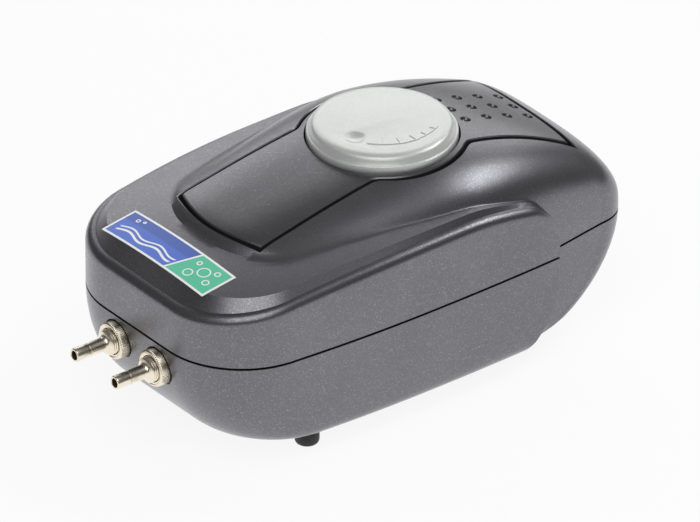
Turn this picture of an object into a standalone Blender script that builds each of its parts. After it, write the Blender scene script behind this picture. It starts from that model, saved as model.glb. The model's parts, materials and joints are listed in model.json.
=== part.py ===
"""Twin-outlet diaphragm air pump for ponds and aquariums.

Front (the two hose nozzles) faces -Y, +Z is up, and the four feet stand on z = 0.
The case is described in its own terms: u runs rearwards from the front wall, x runs
across, and h is the height above the seam between the lower and the upper shell.
"""

import math

import bmesh
import bpy
from mathutils import Vector

MM = 0.001
GAP = 0.3 * MM                      # clearance between pieces that touch

# --- case ---------------------------------------------------------------------------
BODY_LENGTH = 178.5 * MM            # front wall to tail end
BODY_HALF_WIDTH = 50.5 * MM         # half the greatest width, at the apron
TAIL_LENGTH = 38.5 * MM             # the part behind the apron
FRONT_RADIUS = 30.5 * MM            # front corners in plan
FRONT_TAPER = 3.1 * MM              # how far the sides draw in towards the front
REAR_TAPER = 1.6 * MM
LOWER_DEPTH = 34.5 * MM             # seam to the underside
FOOT_STAND = 5.8 * MM               # underside to the floor
WALL = 2.5 * MM
CROWN_WALL = 5.5 * MM               # thicker skin under the inset top panel
SEAM_GAP = 0.5 * MM
RIM_FRONT = 18.0 * MM               # height of the apron's rim at the front
RIM_PEAK = 26.2 * MM
RIM_ROUND = 3.6 * MM
RIM_END_RADIUS = 12.0 * MM
DECK_CROWN = 3.4 * MM
HUMP_TOP = 40.4 * MM                # crown of the hump, at the knob
HUMP_FRONT_DROP = 9.4 * MM
HUMP_REAR_DROP = 12.5 * MM          # from the knob to the panel's rear edge
HUMP_HALF_WIDTH = 47.0 * MM
HUMP_FRONT_HALF_WIDTH = 35.0 * MM
HUMP_FRONT = 24.0 * MM              # hump's front foot, from the front wall
TAIL_HALF_WIDTH = 44.0 * MM
TAIL_RADIUS = 13.5 * MM
FRONT_SLOPE = 24.0 * MM             # how far the lower front wall runs back
APRON_SLOPE = 14.0 * MM             # how far the apron's rear edge runs forward
UNDER_RADIUS = 6.0 * MM

# --- what shows on the case -----------------------------------------------------------
KNOB_U = 102.6 * MM                 # knob's axis, from the front wall
KNOB_RADIUS = 25.5 * MM
KNOB_HEIGHT = 7.2 * MM
KNOB_H = 36.8 * MM                  # knob's underside
KNOB_GAP = 0.7 * MM
SPINDLE_RADIUS = 3.0 * MM
SPINDLE_SEAT = 4.6 * MM             # depth of the knob's bore
PANEL_FRONT_U = 30.5 * MM
PANEL_BOW = 5.0 * MM                # how far the front edge bows forward
PANEL_FRONT_HALF_WIDTH = 21.6 * MM
PANEL_WAIST = 20.0 * MM
PANEL_REAR_HALF_WIDTH = 25.5 * MM
PANEL_REAR_MARGIN = 17.5 * MM       # tail end to the panel's rear edge
PANEL_RING = 1.8 * MM               # what is left of the panel round the knob
PANEL_THICKNESS = 2.4 * MM
PANEL_GROOVE = 1.1 * MM
DOT_RADIUS = 2.0 * MM
DOT_PITCH_X = 8.0 * MM
DOT_PITCH_U = 8.8 * MM
DOTS_FROM_REAR = 20.5 * MM          # tail end to the last row of dots
NOZZLE_X = 11.1 * MM
NOZZLE_H = -9.0 * MM
NOZZLE_REACH = 17.5 * MM            # nozzle tip ahead of the front wall
TUBE_RADIUS = 2.4 * MM              # fits 4 mm airline
BORE_RADIUS = 1.6 * MM
STEM_RADIUS = 4.4 * MM
NUT_RADIUS = 6.5 * MM
NUT_LENGTH = 5.5 * MM
NUT_SEAT_U = 3.0 * MM
PAD_DEPTH = 7.5 * MM                # inner face of the nozzles' pads, from the front
SEAL_THICKNESS = 1.2 * MM
FOOT_RADIUS = 4.2 * MM
FOOT_STEM = 1.6 * MM
FOOT_FRONT_X = 38.5 * MM
FOOT_REAR_X = 30.0 * MM
FOOT_FRONT_U = 41.5 * MM
FOOT_REAR_U = 120.0 * MM
GLAND_RADIUS = 5.0 * MM
GLAND_NECK = 3.6 * MM
GLAND_BORE = 2.3 * MM               # for a round supply cord of about 4.5 mm
GLAND_H = -10.0 * MM
GLAND_SEAT = 5.4 * MM               # its seat and inner face, from the tail end
GLAND_PAD = 11.0 * MM

# --- inside ---------------------------------------------------------------------------
GASKET_THICKNESS = 1.2 * MM
GASKET_LOW = -1.2 * MM
GASKET_HIGH = 0.7 * MM
SCREW_RADIUS = 1.5 * MM
SCREW_HOLE = SCREW_RADIUS + GAP
SCREW_BOSS = 4.2 * MM
SCREW_REACH = 12.0 * MM             # tip of the case screws above the seam
HEAD_RADIUS = 3.0 * MM
HEAD_HEIGHT = 2.0 * MM
HEAD_LOW = -30.0 * MM               # underside of the case screws' heads
CASE_SCREW_X = 36.0 * MM
CASE_SCREW_FRONT_U = 52.0 * MM
CASE_SCREW_REAR_U = 109.0 * MM
ARM_U = 34.0 * MM                   # pivots of the swing arms
ARM_X = 24.0 * MM
ARM_H = -8.0 * MM
ARM_INNER_X = 22.1 * MM
ARM_THICKNESS = 3.0 * MM
ARM_HALF_HEIGHT = 4.0 * MM
BUSH_RADIUS = 4.0 * MM
BUSH_PIN = 1.8 * MM
BUSH_LOW = ARM_H - 5.3 * MM
BUSH_HIGH = ARM_H + 5.3 * MM
MAGNET_U = 104.0 * MM
MAGNET_HALF = 7.0 * MM
MAGNET_THICKNESS = 2.6 * MM
CORE_HALF_LENGTH = 15.0 * MM
CORE_WIDTH = 16.0 * MM
CORE_LOW = ARM_H - CORE_WIDTH / 2
CORE_SCREW_X = 12.0 * MM
BOBBIN_HALF_LENGTH = 8.0 * MM
BOBBIN_WALL = 1.2 * MM
WINDING_DEPTH = 3.5 * MM
CHAMBER_U = 58.0 * MM
CHAMBER_RADIUS = 12.0 * MM
CHAMBER_FACE_X = 12.5 * MM
CHAMBER_BACK_X = 5.0 * MM
SPLIT_X = 0.4 * MM                  # the two covers stand back to back
PORT_RADIUS = 1.8 * MM
PORT_OFFSET = 5.0 * MM
FLAP_THICKNESS = 0.6 * MM
FLAP_HINGE = 3.2 * MM
SPIGOT_X = 3.1 * MM
HOSE_SPIGOT = 1.6 * MM
INNER_BORE = 0.9 * MM
HOSE_WALL = 0.9 * MM
BOARD_H = 20.0 * MM
BOARD_THICKNESS = 1.6 * MM
BOARD_HALF_WIDTH = 24.0 * MM
BOARD_U = 82.0 * MM
BOARD_LENGTH = 44.0 * MM
BOARD_SCREW_X = 19.0 * MM
BOARD_SCREW_U = 88.0 * MM
BOARD_BOSS = 3.2 * MM
POT_RADIUS = 8.5 * MM
FILTER_X = 15.0 * MM
FILTER_U = 71.0 * MM
FILTER_LENGTH = 16.0 * MM
FILTER_TOP = 6.5 * MM - LOWER_DEPTH

FRONT_Y = (NOZZLE_REACH - BODY_LENGTH) / 2
SEAM_Z = FOOT_STAND + LOWER_DEPTH
APRON_END = BODY_LENGTH - TAIL_LENGTH
WIDEST_U = 80.0 * MM
SPINE_FRONT = 60.0 * MM
SPINE_REAR = BODY_LENGTH - 28.0 * MM
FLOOR_H = WALL - LOWER_DEPTH        # inner floor of the lower shell

DARK = (0.060, 0.062, 0.070)
COLOURS = {
    "shell": (DARK, 0.42, 0.15),
    "panel": ((0.050, 0.051, 0.057), 0.40, 0.15),
    "knob": ((0.55, 0.56, 0.56), 0.35, 0.60),
    "nickel": ((0.75, 0.70, 0.60), 0.25, 1.0),
    "steel": ((0.60, 0.60, 0.60), 0.35, 1.0),
    "rubber": ((0.015, 0.015, 0.016), 0.70, 0.0),
    "white": ((0.75, 0.75, 0.72), 0.50, 0.0),
    "copper": ((0.60, 0.25, 0.12), 0.35, 0.9),
    "board": ((0.35, 0.24, 0.10), 0.60, 0.0),
    "black": ((0.02, 0.02, 0.02), 0.45, 0.0),
    "felt": ((0.55, 0.57, 0.52), 0.95, 0.0),
    "silicone": ((0.80, 0.78, 0.70), 0.45, 0.0),
    "magnet": ((0.16, 0.16, 0.17), 0.45, 0.8),
}


# --- scene helpers ----------------------------------------------------------------------
def clear_scene():
    for old in list(bpy.data.objects):
        bpy.data.objects.remove(old, do_unlink=True)


def material(kind):
    found = bpy.data.materials.get(kind)
    if found:
        return found
    colour, roughness, metallic = COLOURS[kind]
    made = bpy.data.materials.new(kind)
    made.use_nodes = True
    shader = made.node_tree.nodes["Principled BSDF"]
    shader.inputs["Base Color"].default_value = (*colour, 1.0)
    shader.inputs["Roughness"].default_value = roughness
    shader.inputs["Metallic"].default_value = metallic
    return made


def place(x, u, h):
    """A point of the case in world coordinates."""
    return Vector((x, FRONT_Y + u, SEAM_Z + h))


def add_object(name, bm, kind, origin=None):
    """Make an object from a bmesh in world coordinates, with its origin where it turns."""
    origin = Vector(origin) if origin else Vector()
    bmesh.ops.translate(bm, verts=bm.verts, vec=-origin)
    mesh = bpy.data.meshes.new(name)
    bm.to_mesh(mesh)
    bm.free()
    made = bpy.data.objects.new(name, mesh)
    made.location = origin
    bpy.context.collection.objects.link(made)
    made.data.materials.append(material(kind))
    return made


def smooth(made, angle=35.0):
    made.data.shade_smooth()
    made.data.set_sharp_from_angle(angle=math.radians(angle))
    return made


def box_mesh(low, high, bevel=0.0):
    bm = bmesh.new()
    bmesh.ops.create_cube(bm, size=1.0)
    low, high = Vector(low), Vector(high)
    bmesh.ops.scale(bm, verts=bm.verts, vec=high - low)
    bmesh.ops.translate(bm, verts=bm.verts, vec=(low + high) / 2)
    if bevel:
        bmesh.ops.bevel(bm, geom=bm.edges[:], offset=bevel, segments=1, affect="EDGES")
    return bm


def case_box(x0, x1, u0, u1, h0, h1, bevel=0.0):
    return box_mesh(place(x0, u0, h0), place(x1, u1, h1), bevel)


def lathe_mesh(profile, centre, axis, steps=24):
    """Turn a closed outline of (radius, distance along axis) points about an axis."""
    axis = Vector(axis).normalized()
    side = axis.orthogonal().normalized()
    centre = Vector(centre)
    bm = bmesh.new()
    points = [bm.verts.new(centre + side * r + axis * s) for r, s in profile]
    edges = [bm.edges.new((points[i - 1], points[i])) for i in range(len(points))
             if not (profile[i - 1][0] == 0 and profile[i][0] == 0)]
    bmesh.ops.spin(bm, geom=points + edges, cent=centre, axis=axis, angle=2 * math.pi,
                   steps=steps, use_merge=True)
    bmesh.ops.remove_doubles(bm, verts=bm.verts, dist=1e-7)
    bmesh.ops.recalc_face_normals(bm, faces=bm.faces)
    return bm


def rod_mesh(radius, centre, axis, start, end, steps=16, chamfer=0.0):
    profile = [(0, start), (radius - chamfer, start), (radius, start + chamfer),
               (radius, end - chamfer), (radius - chamfer, end), (0, end)]
    if not chamfer:
        profile = [(0, start), (radius, start), (radius, end), (0, end)]
    return lathe_mesh(profile, centre, axis, steps)


def merge_meshes(meshes):
    """Put several closed bodies into one bmesh."""
    joined = bmesh.new()
    scratch = bpy.data.meshes.new("scratch")
    for bm in meshes:
        bm.to_mesh(scratch)
        bm.free()
        joined.from_mesh(scratch)
    bpy.data.meshes.remove(scratch)
    return joined


def drop_slivers(mesh):
    """Merge corners that a Boolean left almost on top of each other."""
    bm = bmesh.new()
    bm.from_mesh(mesh)
    bmesh.ops.remove_doubles(bm, verts=bm.verts, dist=0.004 * MM)
    bmesh.ops.dissolve_degenerate(bm, dist=0.002 * MM, edges=bm.edges)
    bm.to_mesh(mesh)
    bm.free()


def combine(target, tools, operation):
    """Apply one exact Boolean with a bmesh (or a list of them) and delete the tool."""
    tool_mesh = merge_meshes(tools) if isinstance(tools, list) else tools
    tool = add_object(target.name + "_tool", tool_mesh, "black")
    tool.hide_render = True
    tool.display_type = "WIRE"
    step = target.modifiers.new("combine", "BOOLEAN")
    step.operation = operation
    step.object = tool
    step.solver = "EXACT"
    bpy.context.view_layer.update()
    shaped = bpy.data.meshes.new_from_object(
        target.evaluated_get(bpy.context.evaluated_depsgraph_get()))
    drop_slivers(shaped)
    target.modifiers.remove(step)
    old, target.data = target.data, shaped
    shaped.name = target.name
    bpy.data.meshes.remove(old)
    bpy.data.objects.remove(tool, do_unlink=True)
    return target


def cut(target, tools):
    return combine(target, tools, "DIFFERENCE")


def unite(target, tools):
    for tool in tools if isinstance(tools, list) else [tools]:
        combine(target, tool, "UNION")
    return target


# --- the case's surface -----------------------------------------------------------------
def tail_half_width(u, inset, rear):
    width = TAIL_HALF_WIDTH - 0.168 * (u - APRON_END) - inset
    radius = TAIL_RADIUS - inset
    start = rear - radius
    if u > start:
        width += -radius + math.sqrt(max(radius ** 2 - (u - start) ** 2, 0.0))
    return width


def rim_height(u):
    """Height of the apron's rim: rises rearwards, then rounds down at its end."""
    peak_u = KNOB_U
    if u < peak_u:
        height = RIM_PEAK - (RIM_PEAK - RIM_FRONT) * ((peak_u - u) / peak_u) ** 2.2
    else:
        height = RIM_PEAK - 6.5 * MM * ((u - peak_u) / (APRON_END - peak_u)) ** 1.6
    into = u - (APRON_END - RIM_END_RADIUS)
    if into > 0:
        height -= RIM_END_RADIUS - math.sqrt(max(RIM_END_RADIUS ** 2 - into ** 2, 0.0))
    return height


def deck(x, u, inset):
    """Slightly crowned deck, level with the rim's rounding at its edges."""
    fall = min(max((u - (APRON_END - 30 * MM)) / (30 * MM), 0.0), 1.0)
    crown = DECK_CROWN * (1 - (x / BODY_HALF_WIDTH) ** 2) * (1 - fall)
    return rim_height(min(u, APRON_END)) + 1.3 * MM * (1 - fall) + crown - inset


def crown_height(u):
    """Height of the hump along the middle of the case."""
    if u < KNOB_U:
        return HUMP_TOP - HUMP_FRONT_DROP * max((KNOB_U - u) / (67.6 * MM), 0.0) ** 1.4
    panel_end = BODY_LENGTH - PANEL_REAR_MARGIN
    share = (min(u, panel_end) - KNOB_U) / (panel_end - KNOB_U)
    height = HUMP_TOP - HUMP_REAR_DROP * share ** 2
    if u > panel_end:
        left = max(1 - (u - panel_end) / PANEL_REAR_MARGIN, 0.0)
        height *= left ** 0.45
    return height


def hump_half_width(u, inset, rear):
    if u < 112 * MM:
        narrow = HUMP_HALF_WIDTH - HUMP_FRONT_HALF_WIDTH
        width = HUMP_HALF_WIDTH - narrow * ((112 * MM - u) / (77 * MM)) ** 1.4
    elif u < APRON_END:
        step = HUMP_HALF_WIDTH - TAIL_HALF_WIDTH
        width = HUMP_HALF_WIDTH - step * ((u - 112 * MM) / (APRON_END - 112 * MM)) ** 1.5
    else:
        return tail_half_width(u, inset, rear)
    return width - inset


def hump(x, u, inset, roof_inset):
    """Hump and tail: broad crown, rounded shoulders, near-upright foot."""
    rear = BODY_LENGTH - inset
    width = max(hump_half_width(u, inset, rear), 1e-5)
    scale = BODY_LENGTH / rear
    top = crown_height(u * scale if u > KNOB_U else u)
    across = (abs(x) / width) ** 3
    front_reach = SPINE_FRONT - HUMP_FRONT - inset - 5 * MM * min(x / (21.6 * MM), 1.3) ** 2
    along = (max(SPINE_FRONT - u, 0.0) / front_reach) ** 12
    body = top * max(1 - across - along, 0.0) ** 0.25
    return body - roof_inset * min(1.0, body / (0.5 * HUMP_TOP))


def roof(x, u, inset=0.0, roof_inset=0.0, tail=False):
    """Top of the upper shell: deck and hump, joined by a soft fillet at the front."""
    high = hump(x, u, inset, roof_inset)
    if tail:
        return high
    low = deck(x, u, inset)
    blend = 5.0 * MM * min(max((90 * MM - u) / (60 * MM), 0.12), 1.0)
    gap = max(blend - abs(high - low), 0.0) / blend
    return max(high, low) + gap * gap * blend / 4


def arc_points(cx, cu, radius, first, last, steps):
    """Points on an arc in plan; angles in degrees from +x towards +u."""
    turns = [math.radians(first + (last - first) * i / steps) for i in range(steps + 1)]
    return [(cx + radius * math.cos(t), cu + radius * math.sin(t)) for t in turns]


def case_outline(depth, inset, fan, stations, tail_stations):
    """Right half of the case's plan outline at a depth below the seam, front to rear."""
    bottom = LOWER_DEPTH - inset
    share = min(depth / bottom, 1.0)
    rounding = max(UNDER_RADIUS - bottom + depth, 0.0)
    drawn_in = inset + 1.5 * MM * share
    drawn_in += UNDER_RADIUS - math.sqrt(UNDER_RADIUS ** 2 - min(rounding, UNDER_RADIUS) ** 2)
    front = inset + 0.9 * FRONT_SLOPE * (1 - math.sqrt(1 - share ** 2))
    end = APRON_END - inset - APRON_SLOPE * share ** 3
    keel = max(1 - (0.995 * share) ** 2, 0.0) ** 0.4545
    rear = max(APRON_END - 12 * MM + (TAIL_LENGTH + 12 * MM - inset) * keel, end + 2 * MM)

    def side(u):
        taper = FRONT_TAPER if u < WIDEST_U else REAR_TAPER
        return BODY_HALF_WIDTH - taper * ((u - WIDEST_U) / (60 * MM)) ** 2 - drawn_in

    def tail_side(u):
        return TAIL_HALF_WIDTH - 0.168 * (u - APRON_END) - drawn_in

    radius = FRONT_RADIUS - drawn_in
    corner_x = side(front + radius) - radius
    points = [(0.0, front), (corner_x / 2, front)]
    points += arc_points(corner_x, front + radius, radius, -90, 0, fan)
    first = front + radius
    for i in range(1, stations + 1):
        u = first + (end - first) * (1 - (1 - i / stations) ** 1.6)
        points.append((side(u), u))
    radius = min(TAIL_RADIUS - inset, 0.9 * (rear - end))
    last = rear - radius
    for i in range(tail_stations):
        u = end + (last - end) * i / tail_stations
        points.append((tail_side(u), u))
    corner_x = tail_side(last) - radius
    points += arc_points(corner_x, last, radius, 0, 90, fan)
    return points + [(corner_x / 2, rear), (0.0, rear)]


def last_holding(test, low, high):
    """The largest distance at which the test still holds."""
    for _ in range(40):
        middle = (low + high) / 2
        if test(middle):
            low = middle
        else:
            high = middle
    return (low + high) / 2


def upper_column(ray, inset, roof_inset, base):
    """Points from the seam up the wall and inwards to the spine, along one ray."""
    start, dx, du, reach, tail = ray
    end = APRON_END - inset

    def top(distance):
        return roof(dx * distance, start + du * distance, inset, roof_inset, tail)

    def point(distance, height):
        return dx * distance, start + du * distance, height

    def above_deck(distance):
        x, u = dx * distance, start + du * distance
        return hump(x, u, inset, roof_inset) > deck(x, u, inset)

    column = []
    if tail:
        ledge = rim_height(end) - inset
        lowest = len(WALL_SHARES) + ROUND_STEPS + 1
        foot = reach
        for i in range(lowest + 1):
            height = base + (ledge - base) * i / lowest
            if i:
                foot = last_holding(lambda d: top(d) > height, 0.0, reach)
            column.append(point(foot, height))
    else:
        rim = rim_height(start + du * reach) - inset
        rounding = min(RIM_ROUND, 0.45 * (rim - base))
        for share in WALL_SHARES:
            column.append(point(reach, base + share * (rim - rounding - base)))
        for i in range(ROUND_STEPS):
            turn = math.pi / 2 * (i + 0.35) / (ROUND_STEPS - 0.2)
            inward, lift = rounding * (1 - math.cos(turn)), rounding * math.sin(turn)
            column.append(point(reach - inward, rim - rounding + lift))
        shelf = reach - 1.25 * rounding
        foot = min(last_holding(above_deck, 0.0, reach), shelf - 0.3 * MM)
        soft = min(2.5 * MM, 0.4 * (shelf - foot))
        for distance in (foot + max(soft, 0.55 * (shelf - foot)), foot + 0.5 * soft):
            column.append(point(distance, top(distance)))
    for share in FLANK_SHARES:
        column.append(point(share * foot, top(share * foot)))
    return column


def case_rays(inset):
    """From the spine to each point of the outline: (spine u, direction, reach, in tail)."""
    rays = []
    outline = case_outline(0.0, inset, FAN, STATIONS, TAIL_STATIONS)
    first_of_tail = 3 + FAN + STATIONS
    for i, (x, u) in enumerate(outline):
        start = min(max(u, SPINE_FRONT), SPINE_REAR)
        reach = math.hypot(x, u - start)
        rays.append((start, x / reach, (u - start) / reach, reach, i >= first_of_tail))
    return rays


def lower_columns(inset, base, fan, stations, tail_stations):
    """Points from the seam down to the underside, in columns round the right side."""
    loops = []
    for level in DEPTH_SHARES:
        depth = base + (LOWER_DEPTH - inset - base) * level
        outline = case_outline(depth, inset, fan, stations, tail_stations)
        loops.append([(x, u, -depth) for x, u in outline])
    return [list(column) for column in zip(*loops)]


def add_skin(bm, half, inward):
    """Join a half's columns and their mirror images into a surface; returns its loops."""
    mirrored = [[(-x, u, h) for x, u, h in column] for column in half[1:-1]]
    columns = half + mirrored[::-1]
    known = {}

    def vert(point):
        key = tuple(round(value / (0.01 * MM)) for value in point)
        if key not in known:
            known[key] = bm.verts.new(place(*point))
        return known[key]

    grid = [[vert(point) for point in column] for column in columns]
    for i, column in enumerate(grid):
        after = grid[(i + 1) % len(grid)]
        for j in range(len(column) - 1):
            add_face(bm, (column[j], after[j], after[j + 1], column[j + 1]), inward)
    return [column[0] for column in grid], [column[-1] for column in grid]


def add_face(bm, corners, inward):
    """Add a face, leaving out repeated corners."""
    kept = []
    for corner in corners:
        if corner not in kept:
            kept.append(corner)
    if len(kept) > 2:
        bm.faces.new(kept[::-1] if inward else kept)


def add_rim(bm, outer, inner, inward):
    for i, corner in enumerate(outer):
        k = (i + 1) % len(outer)
        add_face(bm, (corner, inner[i], inner[k], outer[k]), inward)


WALL_SHARES = (0.0, 0.5, 1.0)
ROUND_STEPS = 2
FLANK_SHARES = (0.97, 0.90, 0.78, 0.56, 0.28, 0.0)
DEPTH_SHARES = (0.0, 0.22, 0.45, 0.66, 0.83, 0.92, 0.98, 1.0)
FAN, STATIONS, TAIL_STATIONS = 5, 8, 2


# --- shells -----------------------------------------------------------------------------
def upper_half(inset, roof_inset):
    return [upper_column(ray, inset, roof_inset, SEAM_GAP / 2) for ray in case_rays(inset)]


def upper_block(inset):
    """The space inside the upper shell's outer skin, as one closed body."""
    bm = bmesh.new()
    rim = add_skin(bm, upper_half(inset, inset), inward=False)[0]
    add_face(bm, rim, inward=False)
    bmesh.ops.recalc_face_normals(bm, faces=bm.faces)
    return bm


def lower_block(inset):
    """The space inside the lower shell's outer skin, as one closed body."""
    bm = bmesh.new()
    half = lower_columns(inset, SEAM_GAP / 2, FAN, STATIONS, TAIL_STATIONS)
    rim, bottom = add_skin(bm, half, inward=True)
    add_face(bm, rim, inward=False)
    add_face(bm, bottom, inward=True)
    bmesh.ops.recalc_face_normals(bm, faces=bm.faces)
    return bm


def add_inside(shell, posts, block):
    """Join posts and pads to a shell, trimmed to stay inside its outer skin."""
    for post in posts:
        piece = add_object("post", post, "shell")
        combine(piece, block(0.8 * MM), "INTERSECT")
        trimmed = bmesh.new()
        trimmed.from_mesh(piece.data)
        old = piece.data
        bpy.data.objects.remove(piece, do_unlink=True)
        bpy.data.meshes.remove(old)
        combine(shell, trimmed, "UNION")


def post_up(x, u, radius, low, high, steps=12):
    return rod_mesh(radius, place(x, u, 0), (0, 0, 1), low, high, steps)


def upper_shell():
    bm = bmesh.new()
    rims = []
    for inset, roof_inset in ((0.0, 0.0), (WALL, CROWN_WALL)):
        rims.append(add_skin(bm, upper_half(inset, roof_inset), inward=inset > 0)[0])
    add_rim(bm, rims[0], rims[1], inward=False)
    bmesh.ops.recalc_face_normals(bm, faces=bm.faces)
    shell = add_object("upper_shell", bm, "shell")
    posts = [post_up(x, u, SCREW_BOSS, 1 * MM, HUMP_TOP) for x, u in case_screw_places()]
    posts += [post_up(x, BOARD_SCREW_U, BOARD_BOSS, BOARD_H + BOARD_THICKNESS + GAP, HUMP_TOP)
              for x in (-BOARD_SCREW_X, BOARD_SCREW_X)]
    add_inside(shell, posts, upper_block)
    holes = [post_up(x, u, SCREW_HOLE, -1 * MM, SCREW_REACH + 2 * MM, 10)
             for x, u in case_screw_places()]
    holes += [post_up(x, BOARD_SCREW_U, SCREW_HOLE, BOARD_H - 2 * MM, BOARD_H + 8.5 * MM, 10)
              for x in (-BOARD_SCREW_X, BOARD_SCREW_X)]
    cut(shell, holes)
    cut(shell, panel_mesh(PANEL_GROOVE, 9 * MM, PANEL_THICKNESS + GAP))
    cut(shell, post_up(0, KNOB_U, KNOB_RADIUS + KNOB_GAP, KNOB_H - GAP, HUMP_TOP + 6 * MM, 40))
    cut(shell, post_up(0, KNOB_U, SPINDLE_RADIUS + GAP, BOARD_H, HUMP_TOP, 16))
    return smooth(shell, 30)


def lower_shell():
    bm = bmesh.new()
    rims = []
    for inset in (0.0, WALL):
        half = lower_columns(inset, SEAM_GAP / 2, FAN, STATIONS, TAIL_STATIONS)
        rim, bottom = add_skin(bm, half, inward=inset == 0)
        add_face(bm, bottom, inward=inset > 0)
        rims.append(rim)
    add_rim(bm, rims[0], rims[1], inward=True)
    bmesh.ops.recalc_face_normals(bm, faces=bm.faces)
    shell = add_object("lower_shell", bm, "shell")
    under = -LOWER_DEPTH
    posts = [post_up(x, u, SCREW_BOSS + 0.6 * MM, under, -1 * MM) for x, u in case_screw_places()]
    for side in (-1, 1):
        posts.append(post_up(side * ARM_X, ARM_U, 5 * MM, under, BUSH_LOW - GAP))
        posts.append(post_up(side * CORE_SCREW_X, MAGNET_U, 3.6 * MM, under, CORE_LOW - GAP))
        posts.append(rod_mesh(NUT_RADIUS + 0.9 * MM, place(side * NOZZLE_X, 0, NOZZLE_H),
                              (0, 1, 0), 0, PAD_DEPTH, 16))
    posts.append(rod_mesh(GLAND_RADIUS + 1.8 * MM, place(0, BODY_LENGTH, GLAND_H), (0, -1, 0),
                          0, GLAND_PAD, 20))
    posts.append(case_box(-FILTER_X - 2 * MM, FILTER_X + 2 * MM, FILTER_U - 2 * MM,
                          FILTER_U + FILTER_LENGTH + 2 * MM, under, FILTER_TOP + 2 * MM))
    add_inside(shell, posts, lower_block)
    for side in (-1, 1):
        combine(shell, post_up(side * ARM_X, ARM_U, BUSH_PIN, BUSH_LOW - 2 * MM,
                               BUSH_HIGH + 1 * MM, 12), "UNION")
    holes = []
    for x, u in case_screw_places():
        holes.append(lathe_mesh([(0, under - 1 * MM), (HEAD_RADIUS + GAP, under - 1 * MM),
                                 (HEAD_RADIUS + GAP, HEAD_LOW + HEAD_HEIGHT),
                                 (SCREW_HOLE, HEAD_LOW + HEAD_HEIGHT), (SCREW_HOLE, 1 * MM),
                                 (0, 1 * MM)], place(x, u, 0), (0, 0, 1), 12))
    for side in (-1, 1):
        holes.append(post_up(side * CORE_SCREW_X, MAGNET_U, SCREW_HOLE, CORE_LOW - 9 * MM,
                             CORE_LOW, 10))
        holes.append(lathe_mesh([(0, -1 * MM), (NUT_RADIUS + 0.5 * MM, -1 * MM),
                                 (NUT_RADIUS + 0.5 * MM, NUT_SEAT_U),
                                 (STEM_RADIUS + GAP, NUT_SEAT_U),
                                 (STEM_RADIUS + GAP, PAD_DEPTH + 1 * MM),
                                 (0, PAD_DEPTH + 1 * MM)],
                                place(side * NOZZLE_X, 0, NOZZLE_H), (0, 1, 0), 20))
    holes.append(lathe_mesh([(0, -1 * MM), (GLAND_RADIUS + 0.6 * MM, -1 * MM),
                             (GLAND_RADIUS + 0.6 * MM, GLAND_SEAT),
                             (GLAND_NECK + GAP, GLAND_SEAT),
                             (GLAND_NECK + GAP, GLAND_PAD + 1 * MM), (0, GLAND_PAD + 1 * MM)],
                            place(0, BODY_LENGTH, GLAND_H), (0, -1, 0), 20))
    holes += [post_up(x, u, FOOT_STEM + GAP, under - 1 * MM, FLOOR_H + 1 * MM, 10)
              for x, u in foot_places()]
    cut(shell, holes)
    cut(shell, case_box(-FILTER_X, FILTER_X, FILTER_U, FILTER_U + FILTER_LENGTH,
                        under - 1 * MM, FILTER_TOP))
    cut(shell, post_up(0, FILTER_U + FILTER_LENGTH / 2, 2.5 * MM, FILTER_TOP - 1 * MM,
                       FILTER_TOP + 4 * MM, 12))
    return smooth(shell, 30)


def case_gasket():
    """Soft band inside both shells that bridges the seam."""
    bm = bmesh.new()
    rims = []
    for inset in (WALL + 2 * GAP, WALL + 2 * GAP + GASKET_THICKNESS):
        outline = case_outline(0.0, inset, FAN, STATIONS, TAIL_STATIONS)
        half = [[(x, u, GASKET_LOW), (x, u, GASKET_HIGH)] for x, u in outline]
        rims.append(add_skin(bm, half, inward=len(rims) > 0))
    add_rim(bm, rims[0][0], rims[1][0], inward=False)
    add_rim(bm, rims[0][1], rims[1][1], inward=True)
    bmesh.ops.recalc_face_normals(bm, faces=bm.faces)
    return smooth(add_object("case_gasket", bm, "rubber"))


# --- top panel and knob -------------------------------------------------------------------
def panel_half_width(u):
    """Straight sides that swell round the knob and widen towards the rear."""
    rear_u = BODY_LENGTH - PANEL_REAR_MARGIN
    if u < KNOB_U:
        share = (u - PANEL_FRONT_U) / (KNOB_U - PANEL_FRONT_U)
        side = PANEL_FRONT_HALF_WIDTH + (PANEL_WAIST - PANEL_FRONT_HALF_WIDTH) * share
    else:
        share = (u - KNOB_U) / (rear_u - KNOB_U)
        side = PANEL_WAIST + (PANEL_REAR_HALF_WIDTH - PANEL_WAIST) * share ** 3
    swell = KNOB_RADIUS + KNOB_GAP + PANEL_RING
    round_knob = math.sqrt(max(swell ** 2 - (u - KNOB_U) ** 2, 0.0))
    blend = 2 * MM
    gap = max(blend - abs(side - round_knob), 0.0) / blend
    return max(side, round_knob) + gap * gap * blend / 4


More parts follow.
